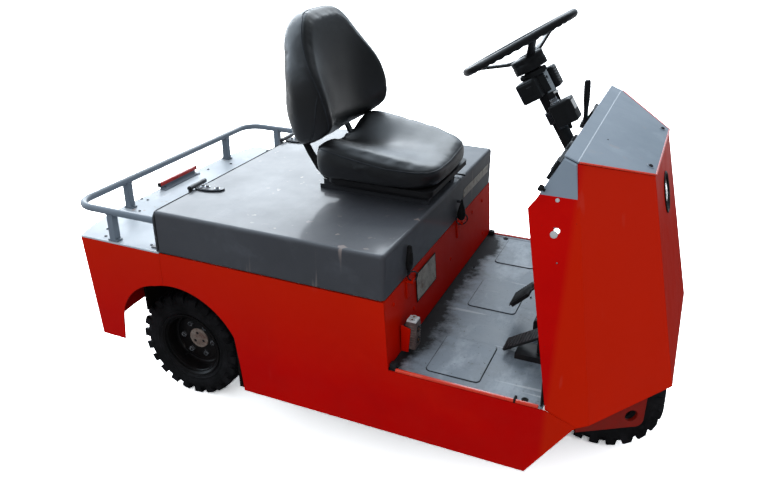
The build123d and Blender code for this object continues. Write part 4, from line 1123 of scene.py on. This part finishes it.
def instruments():
    """Switch panel, two round gauges and a lamp panel on the console."""
    kit = Kit("plastic")
    m = console(96, -330, 0.2)
    bezel(kit, m, 56, 29)
    for k, x in enumerate((-33, -11, 11, 33)):
        t = m @ Matrix.Translation((x, 0, 0)) @ Matrix.Rotation(
            math.radians(7 if k % 2 else -7), 4, "X")
        kit.use("plastic").box((-9, -17, 5), (9, 17, 12), 2.2, 2, matrix=t)
        kit.use("label").box((-1.0, 8, 11.8), (1.0, 12, 12.4), 0.2, 1, matrix=t)
    dial(kit, console(92, -215, 0.1), 38, 35)
    dial(kit, console(92, -122, 0.1), 30, -48)
    m = console(96, 200, 0.2)
    bezel(kit, m, 49, 27)
    for k in range(4):
        n = m @ Matrix.Translation((-27 + 18 * k, 6, 6.2))
        colour = ("redmark", "amber", "amber", "green")[k]
        kit.use("steel").lathe([(6.4, 0), (6.4, 1.6), (5.4, 2.2)], 20, matrix=n)
        kit.use(colour).lathe([(5.4, 1.0), (5.2, 3.2), (3.6, 4.8), (0, 5.4)], 18, matrix=n)
    kit.use("label").box((-34, -17, 6.3), (34, -8, 6.9), 0.3, 1, matrix=m)
    kit.make("console_instruments", "chassis", "instruments")


def direction_lever():
    """Lever in its boot, with a round-cornered grip."""
    kit = Kit("plastic")
    foot = Vector((606, 100, 1076))
    top = Vector((597, 100, 1224))
    way = (top - foot).normalized()
    m = frame_at(foot, way)
    length = (top - foot).length
    kit.use("rubber").lathe([(17.5, 0), (18, 4), (15.5, 7), (16.5, 10), (13, 13), (14, 16),
                             (10.5, 20), (9, 26), (7.8, 30)], 28, matrix=m)
    kit.use("plastic").lathe([(0, 20), (7, 20), (7.2, 60), (8.6, 72), (9.6, 100),
                              (9.8, length - 10), (9, length - 4), (6.5, length - 1),
                              (0, length)], 24, matrix=m)
    for i in range(6):
        z = 84 + i * 8
        kit.lathe([(9.4, z), (10.4, z + 1.5), (10.4, z + 3.5), (9.4, z + 5)], 24, matrix=m)
    kit.make("direction_lever_grip", "chassis", "direction_lever")


# ---------------------------------------------------------------- cowl
def lamp_frame():
    """On the cowl's front face at the headlamp, Z out of it."""
    nose0, nose1 = NOSE_FOOT, NOSE_TOP
    up = (nose1 - nose0).normalized()
    out = Vector((up.z, 0, -up.x))
    z = LAMP_HEIGHT
    x = nose0.x + (nose1.x - nose0.x) * (z - nose0.z) / (nose1.z - nose0.z)
    m = Matrix((Vector((0, 1, 0)), up, out)).transposed().to_4x4()
    return Matrix.Translation(Vector((x, 0, z))) @ m


def headlamp():
    """Black bezel set into the cowl, reflector, bulb and fluted glass."""
    m = lamp_frame()
    kit = Kit("plastic")
    kit.lathe([(61.4, -1.0), (62.5, 0.3), (62.5, 2.6), (60.5, 3.8), (57, 3.6), (54.5, 1.5),
               (53.5, -5), (53.5, -16), (60.5, -16), (61.4, -12)], 72, closed=True, matrix=m)
    kit.lathe([(66, -6.0), (71, -6.0), (71, -12), (62, -22), (40, -46), (20, -54), (0, -54),
               (0, -50), (18, -50), (38, -43), (58, -20), (66, -10)], 56, closed=False,
              matrix=m)
    kit.use("mirror")
    kit.lathe([(54.5, -12), (50, -20), (42, -30), (32, -38), (20, -43), (9, -45), (9, -46),
               (0, -46)], 56, matrix=m)
    kit.use("steel").lathe([(7, -45), (7, -34), (6, -32), (0, -32)], 20, matrix=m)
    kit.use("pale_plastic").lathe([(5.5, -33), (5.8, -24), (4, -19), (0, -17)], 20, matrix=m)
    for k in range(3):
        a = math.radians(90 + 120 * k)
        n = m @ Matrix.Translation((58 * math.cos(a), 58 * math.sin(a), 3.2))
        kit.use("steel").lathe([(0, -0.5), (2.6, -0.5), (2.6, 0.7), (1.6, 1.5), (0, 1.6)], 12,
                               matrix=n)
    kit.make("headlamp_bowl", "chassis", "headlamp")
    glass = Kit("glass")
    part = bmesh.new()
    rows = []
    n = 64
    for j in range(26):
        r = 54.2 * j / 25
        row = []
        for i in range(n):
            a = 2 * math.pi * i / n
            x, y = r * math.cos(a), r * math.sin(a)
            h = -4.5 + 6.5 * (1 - (r / 54.2) ** 2)
            flute = 0.35 * math.cos(x * 0.9) if r < 50 else 0.0
            row.append(part.verts.new((x, y, h + flute)))
            if j == 0:
                row = row * n
                break
        rows.append(row)
    for a, b in zip(rows, rows[1:]):
        for i in range(n):
            j = (i + 1) % n
            quad = []
            for v in (a[i], b[i], b[j], a[j]):
                if v not in quad:
                    quad.append(v)
            part.faces.new(quad)
    bmesh.ops.recalc_face_normals(part, faces=part.faces)
    glass.put(part, m)
    glass.make("headlamp_glass", "chassis", (), sharp=80)


CHEEK_IN, HALF_W = 119.93, 540.0


def cheek_frame(x, z, side=-1):
    """On a cowl cheek at x and height z, Z out of the sheet."""
    k = CHEEK_IN / (1128.0 - 425.0)
    y = HALF_W - k * max(0.0, z - 425.0)
    up = Vector((0, -k * side, 1)).normalized()
    ahead = Vector((1, 0, 0))
    out = ahead.cross(up) if side < 0 else up.cross(ahead)
    m = Matrix((ahead if side < 0 else -ahead, up, out)).transposed().to_4x4()
    return Matrix.Translation(Vector((x, side * y, z))) @ m


def top_plate_frame(x, y):
    """On the cowl's top plate, Z out of it."""
    a, b = PLATE_FOLD, PLATE_FRONT
    along = (b - a).normalized()
    out = Vector((-along.z, 0, along.x))
    t = (x - a.x) / (b.x - a.x)
    at = a.lerp(b, t)
    m = Matrix((along, Vector((0, 1, 0)), out)).transposed().to_4x4()
    return Matrix.Translation(Vector((at.x, y, at.z))) @ m


def cowl_trim():
    """Caps and screws, console end plates, and the cowl's pale bend bar and red lip bars, which
    paint highlights on the bend and the plate's edges.
    """
    kit = Kit("pale_plastic")
    for x, z, r in ((636, 940, 10.0), (633, 1029, 5.5)):
        for side in (-1, 1):
            m = cheek_frame(x, z, side)
            kit.use("pale_plastic").lathe([(0, -3), (r * 0.7, -3), (r * 0.7, 0.2), (r, 0.3),
                                           (r, 1.4), (r * 0.8, 2.4), (r * 0.3, 2.8),
                                           (0, 2.8)], 32, matrix=m)
    for x, z in ((635, 957), (654, 867)):
        for side in (-1, 1):
            m = cheek_frame(x, z, side)
            kit.use("steel").lathe([(0, -1), (2.4, -1), (2.4, 0.6), (1.4, 1.4), (0, 1.6)], 12,
                                   matrix=m)
    for y in (-196, 196):
        m = top_plate_frame(829, y)
        kit.use("panel").lathe([(11, 0), (11, 1.2), (9.5, 1.8), (0, 1.8)], 24, matrix=m)
        kit.use("dark_steel").lathe([(6.5, 1.6), (6.5, 4.6), (5, 6.2), (3.6, 6.2), (3.6, 3.4),
                                     (0, 3.4)], 6, matrix=m)
    kit.use("dark_steel").lathe([(2.4, 0), (2.4, 0.5), (1.6, 1.0), (0, 1.0)], 12,
                                matrix=top_plate_frame(706, -150))
    for side in (-1, 1):
        m = frame_at((596, side * 447, 1056), (-0.89, 0, 0.45))
        kit.use("rubber").lathe([(0, -6), (4, -6), (4, 1), (8.5, 1.5), (9, 4), (9, 11),
                                 (7.5, 13.5), (0, 14)], 20, matrix=m)
    # end plates of the console; the cheeks lean in, so their tops stand outside the sheet
    kit.use("panel")
    to_side = Matrix(((1, 0, 0), (0, 0, -1), (0, 1, 0))).to_4x4()
    end = [(570, 1003), (638, 1138), (669, 1126), (688, 1003)]
    for y0, y1 in ((420.0, 435.5), (-435.5, -420.0)):
        kit.prism(end, y0, y1, 0.8, 1, matrix=to_side)
    # pale bar along the bend across the top plate: a painted highlight where the rounded bend
    # catches the light
    kit.use("bend_highlight")
    kit.tube([(669.5, -417, 1129.2), (669.5, 417, 1129.2)], 2.6, 10)
    # red bar along the plate's front and sides, a lighter red that paints the highlight on the
    # plate's edges
    kit.use("lip_highlight")
    for side in (-1, 1):
        kit.tube([(674, side * 418, 1129.0), (846, side * 236, 1063.5)], 2.8, 8)
    kit.tube([(849, -234, 1062.4), (849, 234, 1062.4)], 2.8, 8)
    kit.make("cowl_caps_and_screws", "chassis", ())


# ---------------------------------------------------------------- hood and deck trim
Z_DECK, Z_HOOD, Z_FLOOR = 683.0, 826.0, 455.0


def hood_hinges():
    """Dark pins, rolled knuckles and a dark lip along each strap's curved side."""
    kit = Kit("dark_steel")
    for y in (-300, 300):
        edge = [(-597, y - 20, 831), (-585, y - 26, 829), (-560, y - 28, 829),
                (-530, y - 22, 829), (-506, y - 9, 829), (-499, y + 5, 829)]
        kit.use("dark_steel").tube([p / MM for p in dense([vec(*q) for q in edge], 0.005)],
                                   3.0, 8)
        for y0, y1 in ((y - 46, y - 40.5), (y + 40.5, y + 46)):
            kit.lathe([(0, y0), (6.5, y0), (7.5, y0 + 1.5), (7.5, y1 - 1.5), (6.5, y1),
                       (0, y1)], 20, matrix=frame_at((-603, 0, 834), (0, 1, 0)))
        for x in (-579, -561, -521):
            m = Matrix.Translation((x, y, 831.3))
            kit.use("steel").lathe([(10, 0), (10, 1.4), (8.8, 1.9), (6.5, 1.9)], 24, matrix=m)
            kit.use("dark_steel").hexagon(6.3, 1.6, 6.2, matrix=m)
    kit.make("hood_hinge_pins", "hood_body", ())


def hood_gap():
    """Thin dark rubber tube along the hood's rear edge and down its ends: a painted shadow for
    the gap to the deck.
    """
    lo, hi = (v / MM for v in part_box("hood"))
    kit = Kit("rubber")
    x = lo.x + 3.0
    for y0, y1 in ((lo.y + 14, -347), (-253, 253), (347, hi.y - 14)):
        kit.tube([(x, y0, Z_HOOD - 0.4), (x, (y0 + y1) / 2, Z_HOOD - 0.4),
                  (x, y1, Z_HOOD - 0.4)], 2.2, 8)
    for y, k in ((lo.y, 1), (hi.y, -1)):
        kit.tube([(x, y + 14 * k, Z_HOOD - 0.4), (x, y + 4 * k, Z_HOOD - 4.4),
                  (x, y + 0.4 * k, Z_HOOD - 14), (x, y + 0.4 * k, 692)], 2.0, 8)
    kit.make("hood_gap_shadow", "hood_body", ())


def hood_latches():
    """Rubber over-centre latches with wire loops, and bolts on the red hooks."""
    kit = Kit("rubber")
    x = 198.5
    face = frame_at((x, -360, 0), (1, 0, 0), (0, 1, 0))
    drop = [(0, 786), (5, 783), (8, 775), (11, 762), (14, 748), (17, 736), (18, 726),
            (16, 716), (12.5, 709), (6, 706), (0, 705)]
    outline = drop + [(-a, b) for a, b in reversed(drop[1:-1])]
    kit.use("rubber").prism(outline, 0.4, 11.5, 3.2, 3, matrix=face)
    kit.prism([(a * 0.45, 745 + (b - 745) * 0.45) for a, b in outline], 11, 15.5, 1.6, 2,
              matrix=face)
    kit.prism([(-8, 712), (8, 712), (6, 688), (-6, 688)], 2, 8, 1.5, 2, matrix=face)
    # the far strap hangs off its stud, a thick drop with its wire ring
    at = Matrix.Translation((x + 15.5, 116, 0))
    kit.lathe([(0, 764), (2.6, 762), (4.4, 752), (7.4, 740), (11.2, 727), (14.2, 714),
               (15.2, 703), (13.6, 693), (9.4, 686), (4, 683), (0, 682.6)], 28, matrix=at)
    kit.use("dark_steel").lathe([(0, 0), (5, 0), (5, 15), (3.6, 16.4), (0, 16.8)], 16,
                                matrix=frame_at((x, 116, 752), (1, 0, 0)))
    for cx, cy, r in ((x + 17, -360, 15), (x + 17.5, 118, 21)):
        ring = [(cx + 0.8 * r * math.sin(a), cy + 0.6 * r * math.sin(a),
                 686 + r * math.cos(a)) for a in [2 * math.pi * i / 32 for i in range(32)]]
        kit.use("dark_steel").tube(ring, 2.2, 8, closed=True)
    kit.make("hood_latch_pulls", "hood_body", "hood_latches")
    kit = Kit("red")
    for y in (-360, 125):
        m = frame_at((206.6, y, 0), (1, 0, 0.06), (0, 1, 0))
        for z in (625, 650):
            kit.use("dark_steel").lathe([(0, 0), (5, 0), (5, 2.2), (3.6, 3.6), (0, 3.8)], 6,
                                        matrix=m @ Matrix.Translation((0, z, 1.5)))
    kit.make("latch_hook_bolts", "chassis", ())


def hood_strip():
    """Worn blank strip on the hood's front, and its rivets."""
    kit = Kit("worn_plate")
    kit.box((198.3, 178, 742), (199.6, 489, 774), 0.6, 1)
    for y in (190, 333, 477):
        m = frame_at((199.5, y, 758), (1, 0, 0))
        kit.use("steel").lathe([(0, 0), (2.6, 0), (2.2, 0.9), (0, 1.2)], 10, matrix=m)
    kit.make("hood_front_blank_strip", "hood_body", ())


def kneeboard_plate():
    """Blank data plate in its dark frame."""
    lean = math.atan2(214.0 - 198.0, 680.0 - 463.0)
    m = Matrix.Translation((205.2, -209, 608)) @ Matrix.Rotation(-lean, 4, "Y")
    kit = Kit("rubber")
    kit.box((0.3, -89, -50), (1.4, 89, 50), 0.5, 1, matrix=m)
    kit.use("worn_plate").box((1.3, -84, -45), (2.2, 84, 45), 0.4, 1, matrix=m)
    for y in (-79, 79):
        for z in (-40, 40):
            n = m @ frame_at((2.1, y, z), (1, 0, 0))
            kit.use("steel").lathe([(0, 0), (2.4, 0), (2, 0.9), (0, 1.1)], 10, matrix=n)
    for y, z in ((-318, 548), (40, 560), (300, 640), (430, 640), (430, 500), (-470, 640)):
        x = 198 + 16 * (680 - z) / 217.0
        n = frame_at((x, y, z), (1, 0, 0.074))
        kit.use("red").lathe([(0, 0), (7, 0), (6.6, 1.6), (4, 3), (0, 3.4)], 20, matrix=n)
    kit.make("kneeboard_blank_plate", "chassis", ())


def battery_plug():
    """Ribbed two-pole plug housing with its contacts, handle lugs and screws."""
    kit = Kit("plug_plastic")
    x, y = 226.0, -440.0
    kit.box((x + 0.5, y + 1, 477), (x + 34, y + 41, 571), 3.5, 2)
    for i in range(9):
        z = 486 + i * 8.6
        kit.box((x - 0.2, y - 0.2, z), (x + 35.5, y + 42.2, z + 4.2), 1.4, 1)
    kit.use("label").box((x + 2, y + 3, 568), (x + 33, y + 39, 575), 2, 2)
    for dy in (12, 30):
        m = Matrix.Translation((x + 17.5, y + dy, 575))
        kit.use("pale_plastic").lathe([(8.2, -2), (8.2, 2.6), (6.4, 2.6), (6.2, -1)], 20,
                                      matrix=m)
        kit.use("cast").lathe([(6.3, -0.2), (0, -0.2)], 16, matrix=m)
        kit.use("copper").lathe([(3.0, -0.3), (3.0, 1.6), (2.2, 2.2), (0, 2.2)], 14, matrix=m)
    for z in (505, 543):
        m = frame_at((x + 34, y + 21, z), (1, 0, 0))
        kit.use("cast").lathe([(11, 0), (11, 2.4), (9, 3), (8.6, 1.6), (0, 1.6)], 24, matrix=m)
        kit.use("copper").lathe([(0, 1.6), (5, 1.6), (5, 2.6), (0, 2.8)], 16, matrix=m)
    kit.use("dark_steel").box((x - 8, y + 6, 500), (x + 1, y + 36, 556), 2, 2)
    kit.use("red").prism([(x - 9, 470), (x + 14, 470), (x + 20, 552), (x - 12, 560)], 0, 4, 0.8,
                         1, matrix=frame_at((0, y - 2.5, 0), (0, -1, 0), (1, 0, 0)))
    kit.make("battery_plug_housing", "chassis", "battery_plug")


# ---------------------------------------------------------------- footwell
PADS = ((315, 478, -497, -292), (312, 476, -80, 124), (308, 455, 278, 500),
        (480, 620, 232, 452))


def rounded(x0, x1, y0, y1, r, n=6):
    """Outline of a rectangle with round corners."""
    out = []
    for cx, cy, a0 in ((x1 - r, y1 - r, 0), (x0 + r, y1 - r, 90), (x0 + r, y0 + r, 180),
                       (x1 - r, y0 + r, 270)):
        for i in range(n + 1):
            a = math.radians(a0 + 90 * i / n)
            out.append((cx + r * math.cos(a), cy + r * math.sin(a)))
    return out


def floor_trim():
    """Dark seam round each tread pad, grommets, and screws."""
    kit = Kit("rubber")
    for x0, x1, y0, y1 in PADS:
        out = rounded(x0 - 0.8, x1 + 0.8, y0 - 0.8, y1 + 0.8, 14.5)
        kit.tube([(x, y, 459.6) for x, y in out], 1.5, 6, closed=True)
    for x, y, r in ((619, -519, 10), (291, 506, 10), (560, -300, 3), (250, 200, 3),
                    (500, 60, 3)):
        kit.lathe([(0, 0), (r, 0), (r, 2.2), (r * 0.8, 3.6), (r * 0.45, 3.8),
                   (r * 0.4, 1.6), (0, 1.6)], 24, matrix=Matrix.Translation((x, y, 459)))
    kit.make("floor_pad_seams", "chassis", ())


def sill_strips():
    """Lips of the sills in a light red-orange that paints the highlight on their edges, their
    end blocks and clips.
    """
    kit = Kit("rubber")
    for side in (-1, 1):
        y0, y1 = sorted((side * 515, side * 529))
        kit.use("floor").box((239, y0, 455.6), (651, y1, 460.5), 0.8, 1)
        a, b = sorted((side * 513.6, side * 535.4))
        kit.box((215.4, a, 459.6), (237, b, 476.4), 3.5, 2)
        # painted highlight: the lip bar's light red-orange stands for the light on the sill's
        # edge
        lip = [(236, 530.5), (660, 530.5), (660, 539.6), (236, 539.6)]
        lip = [(x, side * y) for x, y in lip]
        kit.use("lip_highlight").prism(lip if side > 0 else lip[::-1], 455.6, 465.4, 3.2, 3)
        kit.use("rubber").box((590, min(side * 517, side * 540), 455),
                              (597, max(side * 517, side * 540), 467), 1, 1)
    kit.make("sill_lip_strips", "chassis", "sill_trim")


def pedals():
    """Ribbed rubber pads on the CAD pedals, a pivot, and the switch box lid."""
    kit = Kit("rubber")
    m = Matrix.Translation((498, -86, 545)) @ Matrix.Rotation(math.radians(45), 4, "Y")
    kit.box((-6.4, -47.5, -38.5), (-3.4, 47.5, 38.5), 2.2, 2, matrix=m)
    for i in range(9):
        z = -33 + i * 8.2
        kit.box((-9.4, -43, z - 1.9), (-6.0, 43, z + 1.9), 1.4, 1, matrix=m)
    m = Matrix.Translation((503, -290, 477)) @ Matrix.Rotation(math.radians(-32.7), 4, "Y")
    for i in range(13):
        x = 6 + i * 11.4
        kit.box((x, -32, 1.5), (x + 5.4, 32, 4.6), 1.2, 1, matrix=m)
    kit.use("dark_steel")
    kit.lathe([(0, -8), (7, -8), (7, 8), (0, 8)], 20, matrix=frame_at((648, -86, 664),
                                                                    (0, 1, 0)))
    kit.box((566, -176, 515), (634, -104, 517.4), 1.5, 2)
    for x in (572, 628):
        for y in (-170, -110):
            kit.lathe([(0, 0), (3, 0), (3, 1.6), (0, 2.2)], 8,
                      matrix=Matrix.Translation((x, y, 517)))
    kit.make("pedal_pads", "chassis", ())


# ---------------------------------------------------------------- deck, rail and tail
X_BAR = -956.0


def deck_screws():
    kit = Kit("dark_steel")
    spots = ((-839, -511), (-875, -463), (-884, -290), (-957, -192), (-930, -191),
             (-652, -504), (-952, 93), (-839, 511), (-884, 290), (-652, 504), (-930, 191),
             (-640, -200), (-640, 200))
    for x, y in spots:
        m = Matrix.Translation((x, y, Z_DECK))
        kit.lathe([(0, 0), (5.2, 0), (5.4, 0.8), (4.2, 2.2), (2.2, 2.9), (1.8, 2.0), (0, 2.0)],
                  14, matrix=m)
    for x, y in ((-786, -522), (-786, 522), (-939, -274), (-939, 342)):
        m = Matrix.Translation((x, y, Z_DECK + 0.3))
        for dx in (-17, 17):
            kit.use("rail").hexagon(4.6, 5.6, 9.4, matrix=m @ Matrix.Translation((dx, 0, 0)))
    for x, y in ((-953, -60), (-953, 110), (-935, -72), (-935, 122)):
        m = Matrix.Translation((x, y, Z_DECK + 4.2))
        kit.use("steel").lathe([(0, 0), (4.2, 0), (4.0, 1.6), (2, 2.4), (0, 2.4)], 14, matrix=m)
    kit.use("redmark").box((X_BAR - 6, -88, Z_DECK + 15), (X_BAR + 6, 138, Z_DECK + 29), 2, 2)
    kit.use("rubber")
    for y in (-90, 139.5):
        kit.box((X_BAR - 7, y - 3, Z_DECK + 13), (X_BAR + 7, y + 3, Z_DECK + 29.4), 1, 1)
    kit.make("deck_screws", "chassis", ())


def rail_welds():
    """Fillet welds where the rail's posts meet its tube and feet."""
    kit = Kit("rail")
    for x, y in ((-786, -522), (-786, 522), (-939, -274), (-939, 342)):
        for h, k in ((778.5, 1.04), (684.6, 0.98)):
            s = 12.6 * k
            ring = [(x + px, y + py, h) for px, py in rounded(-s, s, -s, s, 3, 3)]
            kit.tube(ring, 1.6, 6, closed=True)
    kit.make("rail_welds", "chassis", ())


def coupling_trim():
    """Bolts of the coupling plate, with their washers."""
    kit = Kit("cast")
    for y in (-78, 78):
        for z in (316, 412):
            m = frame_at((-882.4, y, z), (-1, 0, 0))
            kit.use("steel").lathe([(13, 0), (13, 2), (12, 2.6), (8, 2.6)], 24, matrix=m)
            kit.use("dark_steel").hexagon(9.4, 2.2, 9.5, matrix=m)
    kit.make("coupling_bolts", "chassis", ())


def wheel_arch_edge():
    """Seam beads where body panels meet, one up each side."""
    kit = Kit("red")
    for side in (-1, 1):
        y = side * 539.2
        kit.tube([(-595.2, y, 560), (-595.2, y, 676)], 1.2, 6)
    kit.make("panel_seam_beads", "chassis", ())


def battery_top():
    """Cell lids, which end 0.2 mm below the battery block's top and stay hidden."""
    lo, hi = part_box("battery")
    lo, hi = lo / MM, hi / MM
    kit = Kit("plastic")
    nx, ny = 3, 4
    for i in range(nx):
        for j in range(ny):
            x0 = lerp(lo.x, hi.x, i / nx) + 8
            x1 = lerp(lo.x, hi.x, (i + 1) / nx) - 8
            y0 = lerp(lo.y, hi.y, j / ny) + 8
            y1 = lerp(lo.y, hi.y, (j + 1) / ny) - 8
            kit.use("plastic").box((x0, y0, hi.z - 4), (x1, y1, hi.z - 0.2), 2.5, 2)
    kit.make("battery_cell_lids", "chassis", ())


# ---------------------------------------------------------------- light and floor
def make_world():
    """White to the eye; even soft light; reflections dark on one side, bright on the other."""
    w = bpy.data.worlds.new("studio")
    SCENE.world = w
    w.use_nodes = True
    t = w.node_tree
    t.nodes.clear()
    path = node(t, "ShaderNodeLightPath").outputs
    seen = most(t, path["Is Camera Ray"], path["Is Transmission Ray"])
    way = node(t, "ShaderNodeTexCoord").outputs["Generated"]
    # the room is bright behind the tug and dark ahead of it
    side = node(t, "ShaderNodeVectorMath", {0: way, 1: (-0.8, 0.5, 0.35)},
                operation="DOT_PRODUCT").outputs["Value"]
    bright = span(t, side, 0.25, 0.85, 0.08, 2.4)
    light = node(t, "ShaderNodeBackground", {"Color": (0.93, 0.965, 1.0, 1), "Strength": 0.85})
    mirror = node(t, "ShaderNodeBackground", {"Color": (0.74, 0.87, 1.0, 1),
                                              "Strength": bright})
    shown = node(t, "ShaderNodeBackground", {"Color": (1, 1, 1, 1), "Strength": 1.0})
    lit = node(t, "ShaderNodeMixShader", {0: path["Is Glossy Ray"], 1: light.outputs[0],
                                          2: mirror.outputs[0]})
    both = node(t, "ShaderNodeMixShader", {0: seen, 1: lit.outputs[0],
                                           2: shown.outputs[0]})
    node(t, "ShaderNodeOutputWorld", {"Surface": both.outputs[0]})


def panel(name, at, towards, width, height, radiance, colour=(1, 1, 1)):
    """Soft rectangular lamp that the camera doesn't see."""
    data = bpy.data.lights.new(name, "AREA")
    data.shape = "RECTANGLE"
    data.size, data.size_y = width, height
    data.energy = radiance * math.pi * width * height
    data.color = colour
    lamp = bpy.data.objects.new(name, data)
    lamp.location = at
    lamp.rotation_euler = (Vector(towards) - Vector(at)).to_track_quat("-Z", "Y").to_euler()
    lamp.visible_camera = False
    SCENE.collection.objects.link(lamp)
    return lamp


def make_floor():
    me = bpy.data.meshes.new("studio_floor")
    r = 60.0
    me.from_pydata([(-r, -r, 0), (r, -r, 0), (r, r, 0), (-r, r, 0)], [], [(0, 1, 2, 3)])
    floor = bpy.data.objects.new("studio_floor", me)
    floor.location.z = -0.0005
    SCENE.collection.objects.link(floor)
    m = bpy.data.materials.new("studio_floor")
    m.use_nodes = True
    t = m.node_tree
    t.nodes.clear()
    path = node(t, "ShaderNodeLightPath").outputs
    f = noise(t, node(t, "ShaderNodeTexCoord").outputs["Object"], 3.0, 3)
    pale = mixed(t, f, (2.9, 2.9, 2.9, 1), (3.0, 3.0, 3.0, 1))
    seen = most(t, path["Is Camera Ray"], path["Is Transmission Ray"])
    co = node(t, "ShaderNodeTexCoord").outputs["Object"]
    xyz = node(t, "ShaderNodeSeparateXYZ", {0: co}).outputs
    back = node(t, "ShaderNodeMath", {0: xyz["Y"], 1: xyz["X"]}, operation="SUBTRACT")
    mirror = mixed(t, span(t, back.outputs[0], 1.0, 4.0), (0.05, 0.052, 0.055, 1),
                   (0.8, 0.8, 0.8, 1))
    colour = mixed(t, path["Is Glossy Ray"], (0.5, 0.51, 0.52, 1), mirror)
    colour = mixed(t, seen, colour, pale)
    d = node(t, "ShaderNodeBsdfDiffuse", {"Color": colour})
    node(t, "ShaderNodeOutputMaterial", {"Surface": d.outputs[0]})
    me.materials.append(m)


def make_light():
    make_world()
    panel("back_panel", (-2.9, 2.6, 2.3), (-0.3, 0.1, 0.6), 3.2, 2.2, 4.0, (0.93, 0.97, 1.0))
    panel("upper_back_panel", (-0.8, 3.4, 3.4), (0.0, 0.0, 0.8), 3.0, 1.6, 3.0,
          (0.9, 0.96, 1.0))
    for name, at, size, power in (("front_fill", (0.2, -4.2, 2.6), (4.0, 2.6), 1.5),
                                  ("nose_fill", (4.2, -0.6, 1.6), (2.6, 2.2), 0.8),
                                  ("top_fill", (0.0, 0.0, 4.2), (3.6, 2.4), 0.9)):
        lamp = panel(name, at, (0.1, 0.0, 0.6), *size, power)
        lamp.visible_glossy = False


# ---------------------------------------------------------------- CAD nodes' finishes
FINISH = {
    "chassis_frame": "frame_red", "rear_body": "red", "side_skirt_right": "red",
    "side_skirt_left": "red", "kneeboard": "red", "latch_catches": "red",
    "release_bar": "rail", "cowl": "red", "rear_deck": "deck", "floor_plate": "floor",
    "sill_trim": "rubber", "toe_board": "black_paint", "steering_column": "black_paint",
    "pedals": "black_paint", "seat_back_bars": "black_paint", "hood_bulkhead": "hood",
    "hood": "hood", "cowl_top_plate": "panel", "console_panel": "panel",
    "hood_hinge_straps": "hood", "coupling_pin": "steel", "seat_rails": "rail_shade",
    "hood_latches": "rubber", "guard_rail": "rail", "tow_coupling": "cast",
    "steer_gearbox": "cast", "front_fork": "cast", "rear_axle": "cast",
    "drive_motor": "cast", "headlamp": "mirror", "instruments": "plastic",
    "direction_lever": "plastic", "steering_wheel": "plastic",
    "column_switches": "plastic", "seat_pan": "black_paint", "front_rim": "rim",
    "rear_rim_right": "rim", "rear_rim_left": "rim", "front_tyre": "tyre",
    "rear_tyre_right": "tyre", "rear_tyre_left": "tyre", "battery": "plastic",
    "battery_plug": "grey_plastic", "seat_cushion": "vinyl", "seat_back": "vinyl",
}


def dress_nodes():
    for name, obj in NODES.items():
        obj.data.materials.clear()
        obj.data.materials.append(MATS[FINISH[name]])


make_materials()
make_light()
make_floor()
dress_nodes()
rear_wheels()
front_wheel()
seat_cushion()
seat_back()
steering_wheel()
column_switches()
instruments()
direction_lever()
headlamp()
cowl_trim()
hood_hinges()
hood_gap()
hood_latches()
hood_strip()
kneeboard_plate()
battery_plug()
floor_trim()
sill_strips()
pedals()
deck_screws()
rail_welds()
coupling_trim()
wheel_arch_edge()
battery_top()
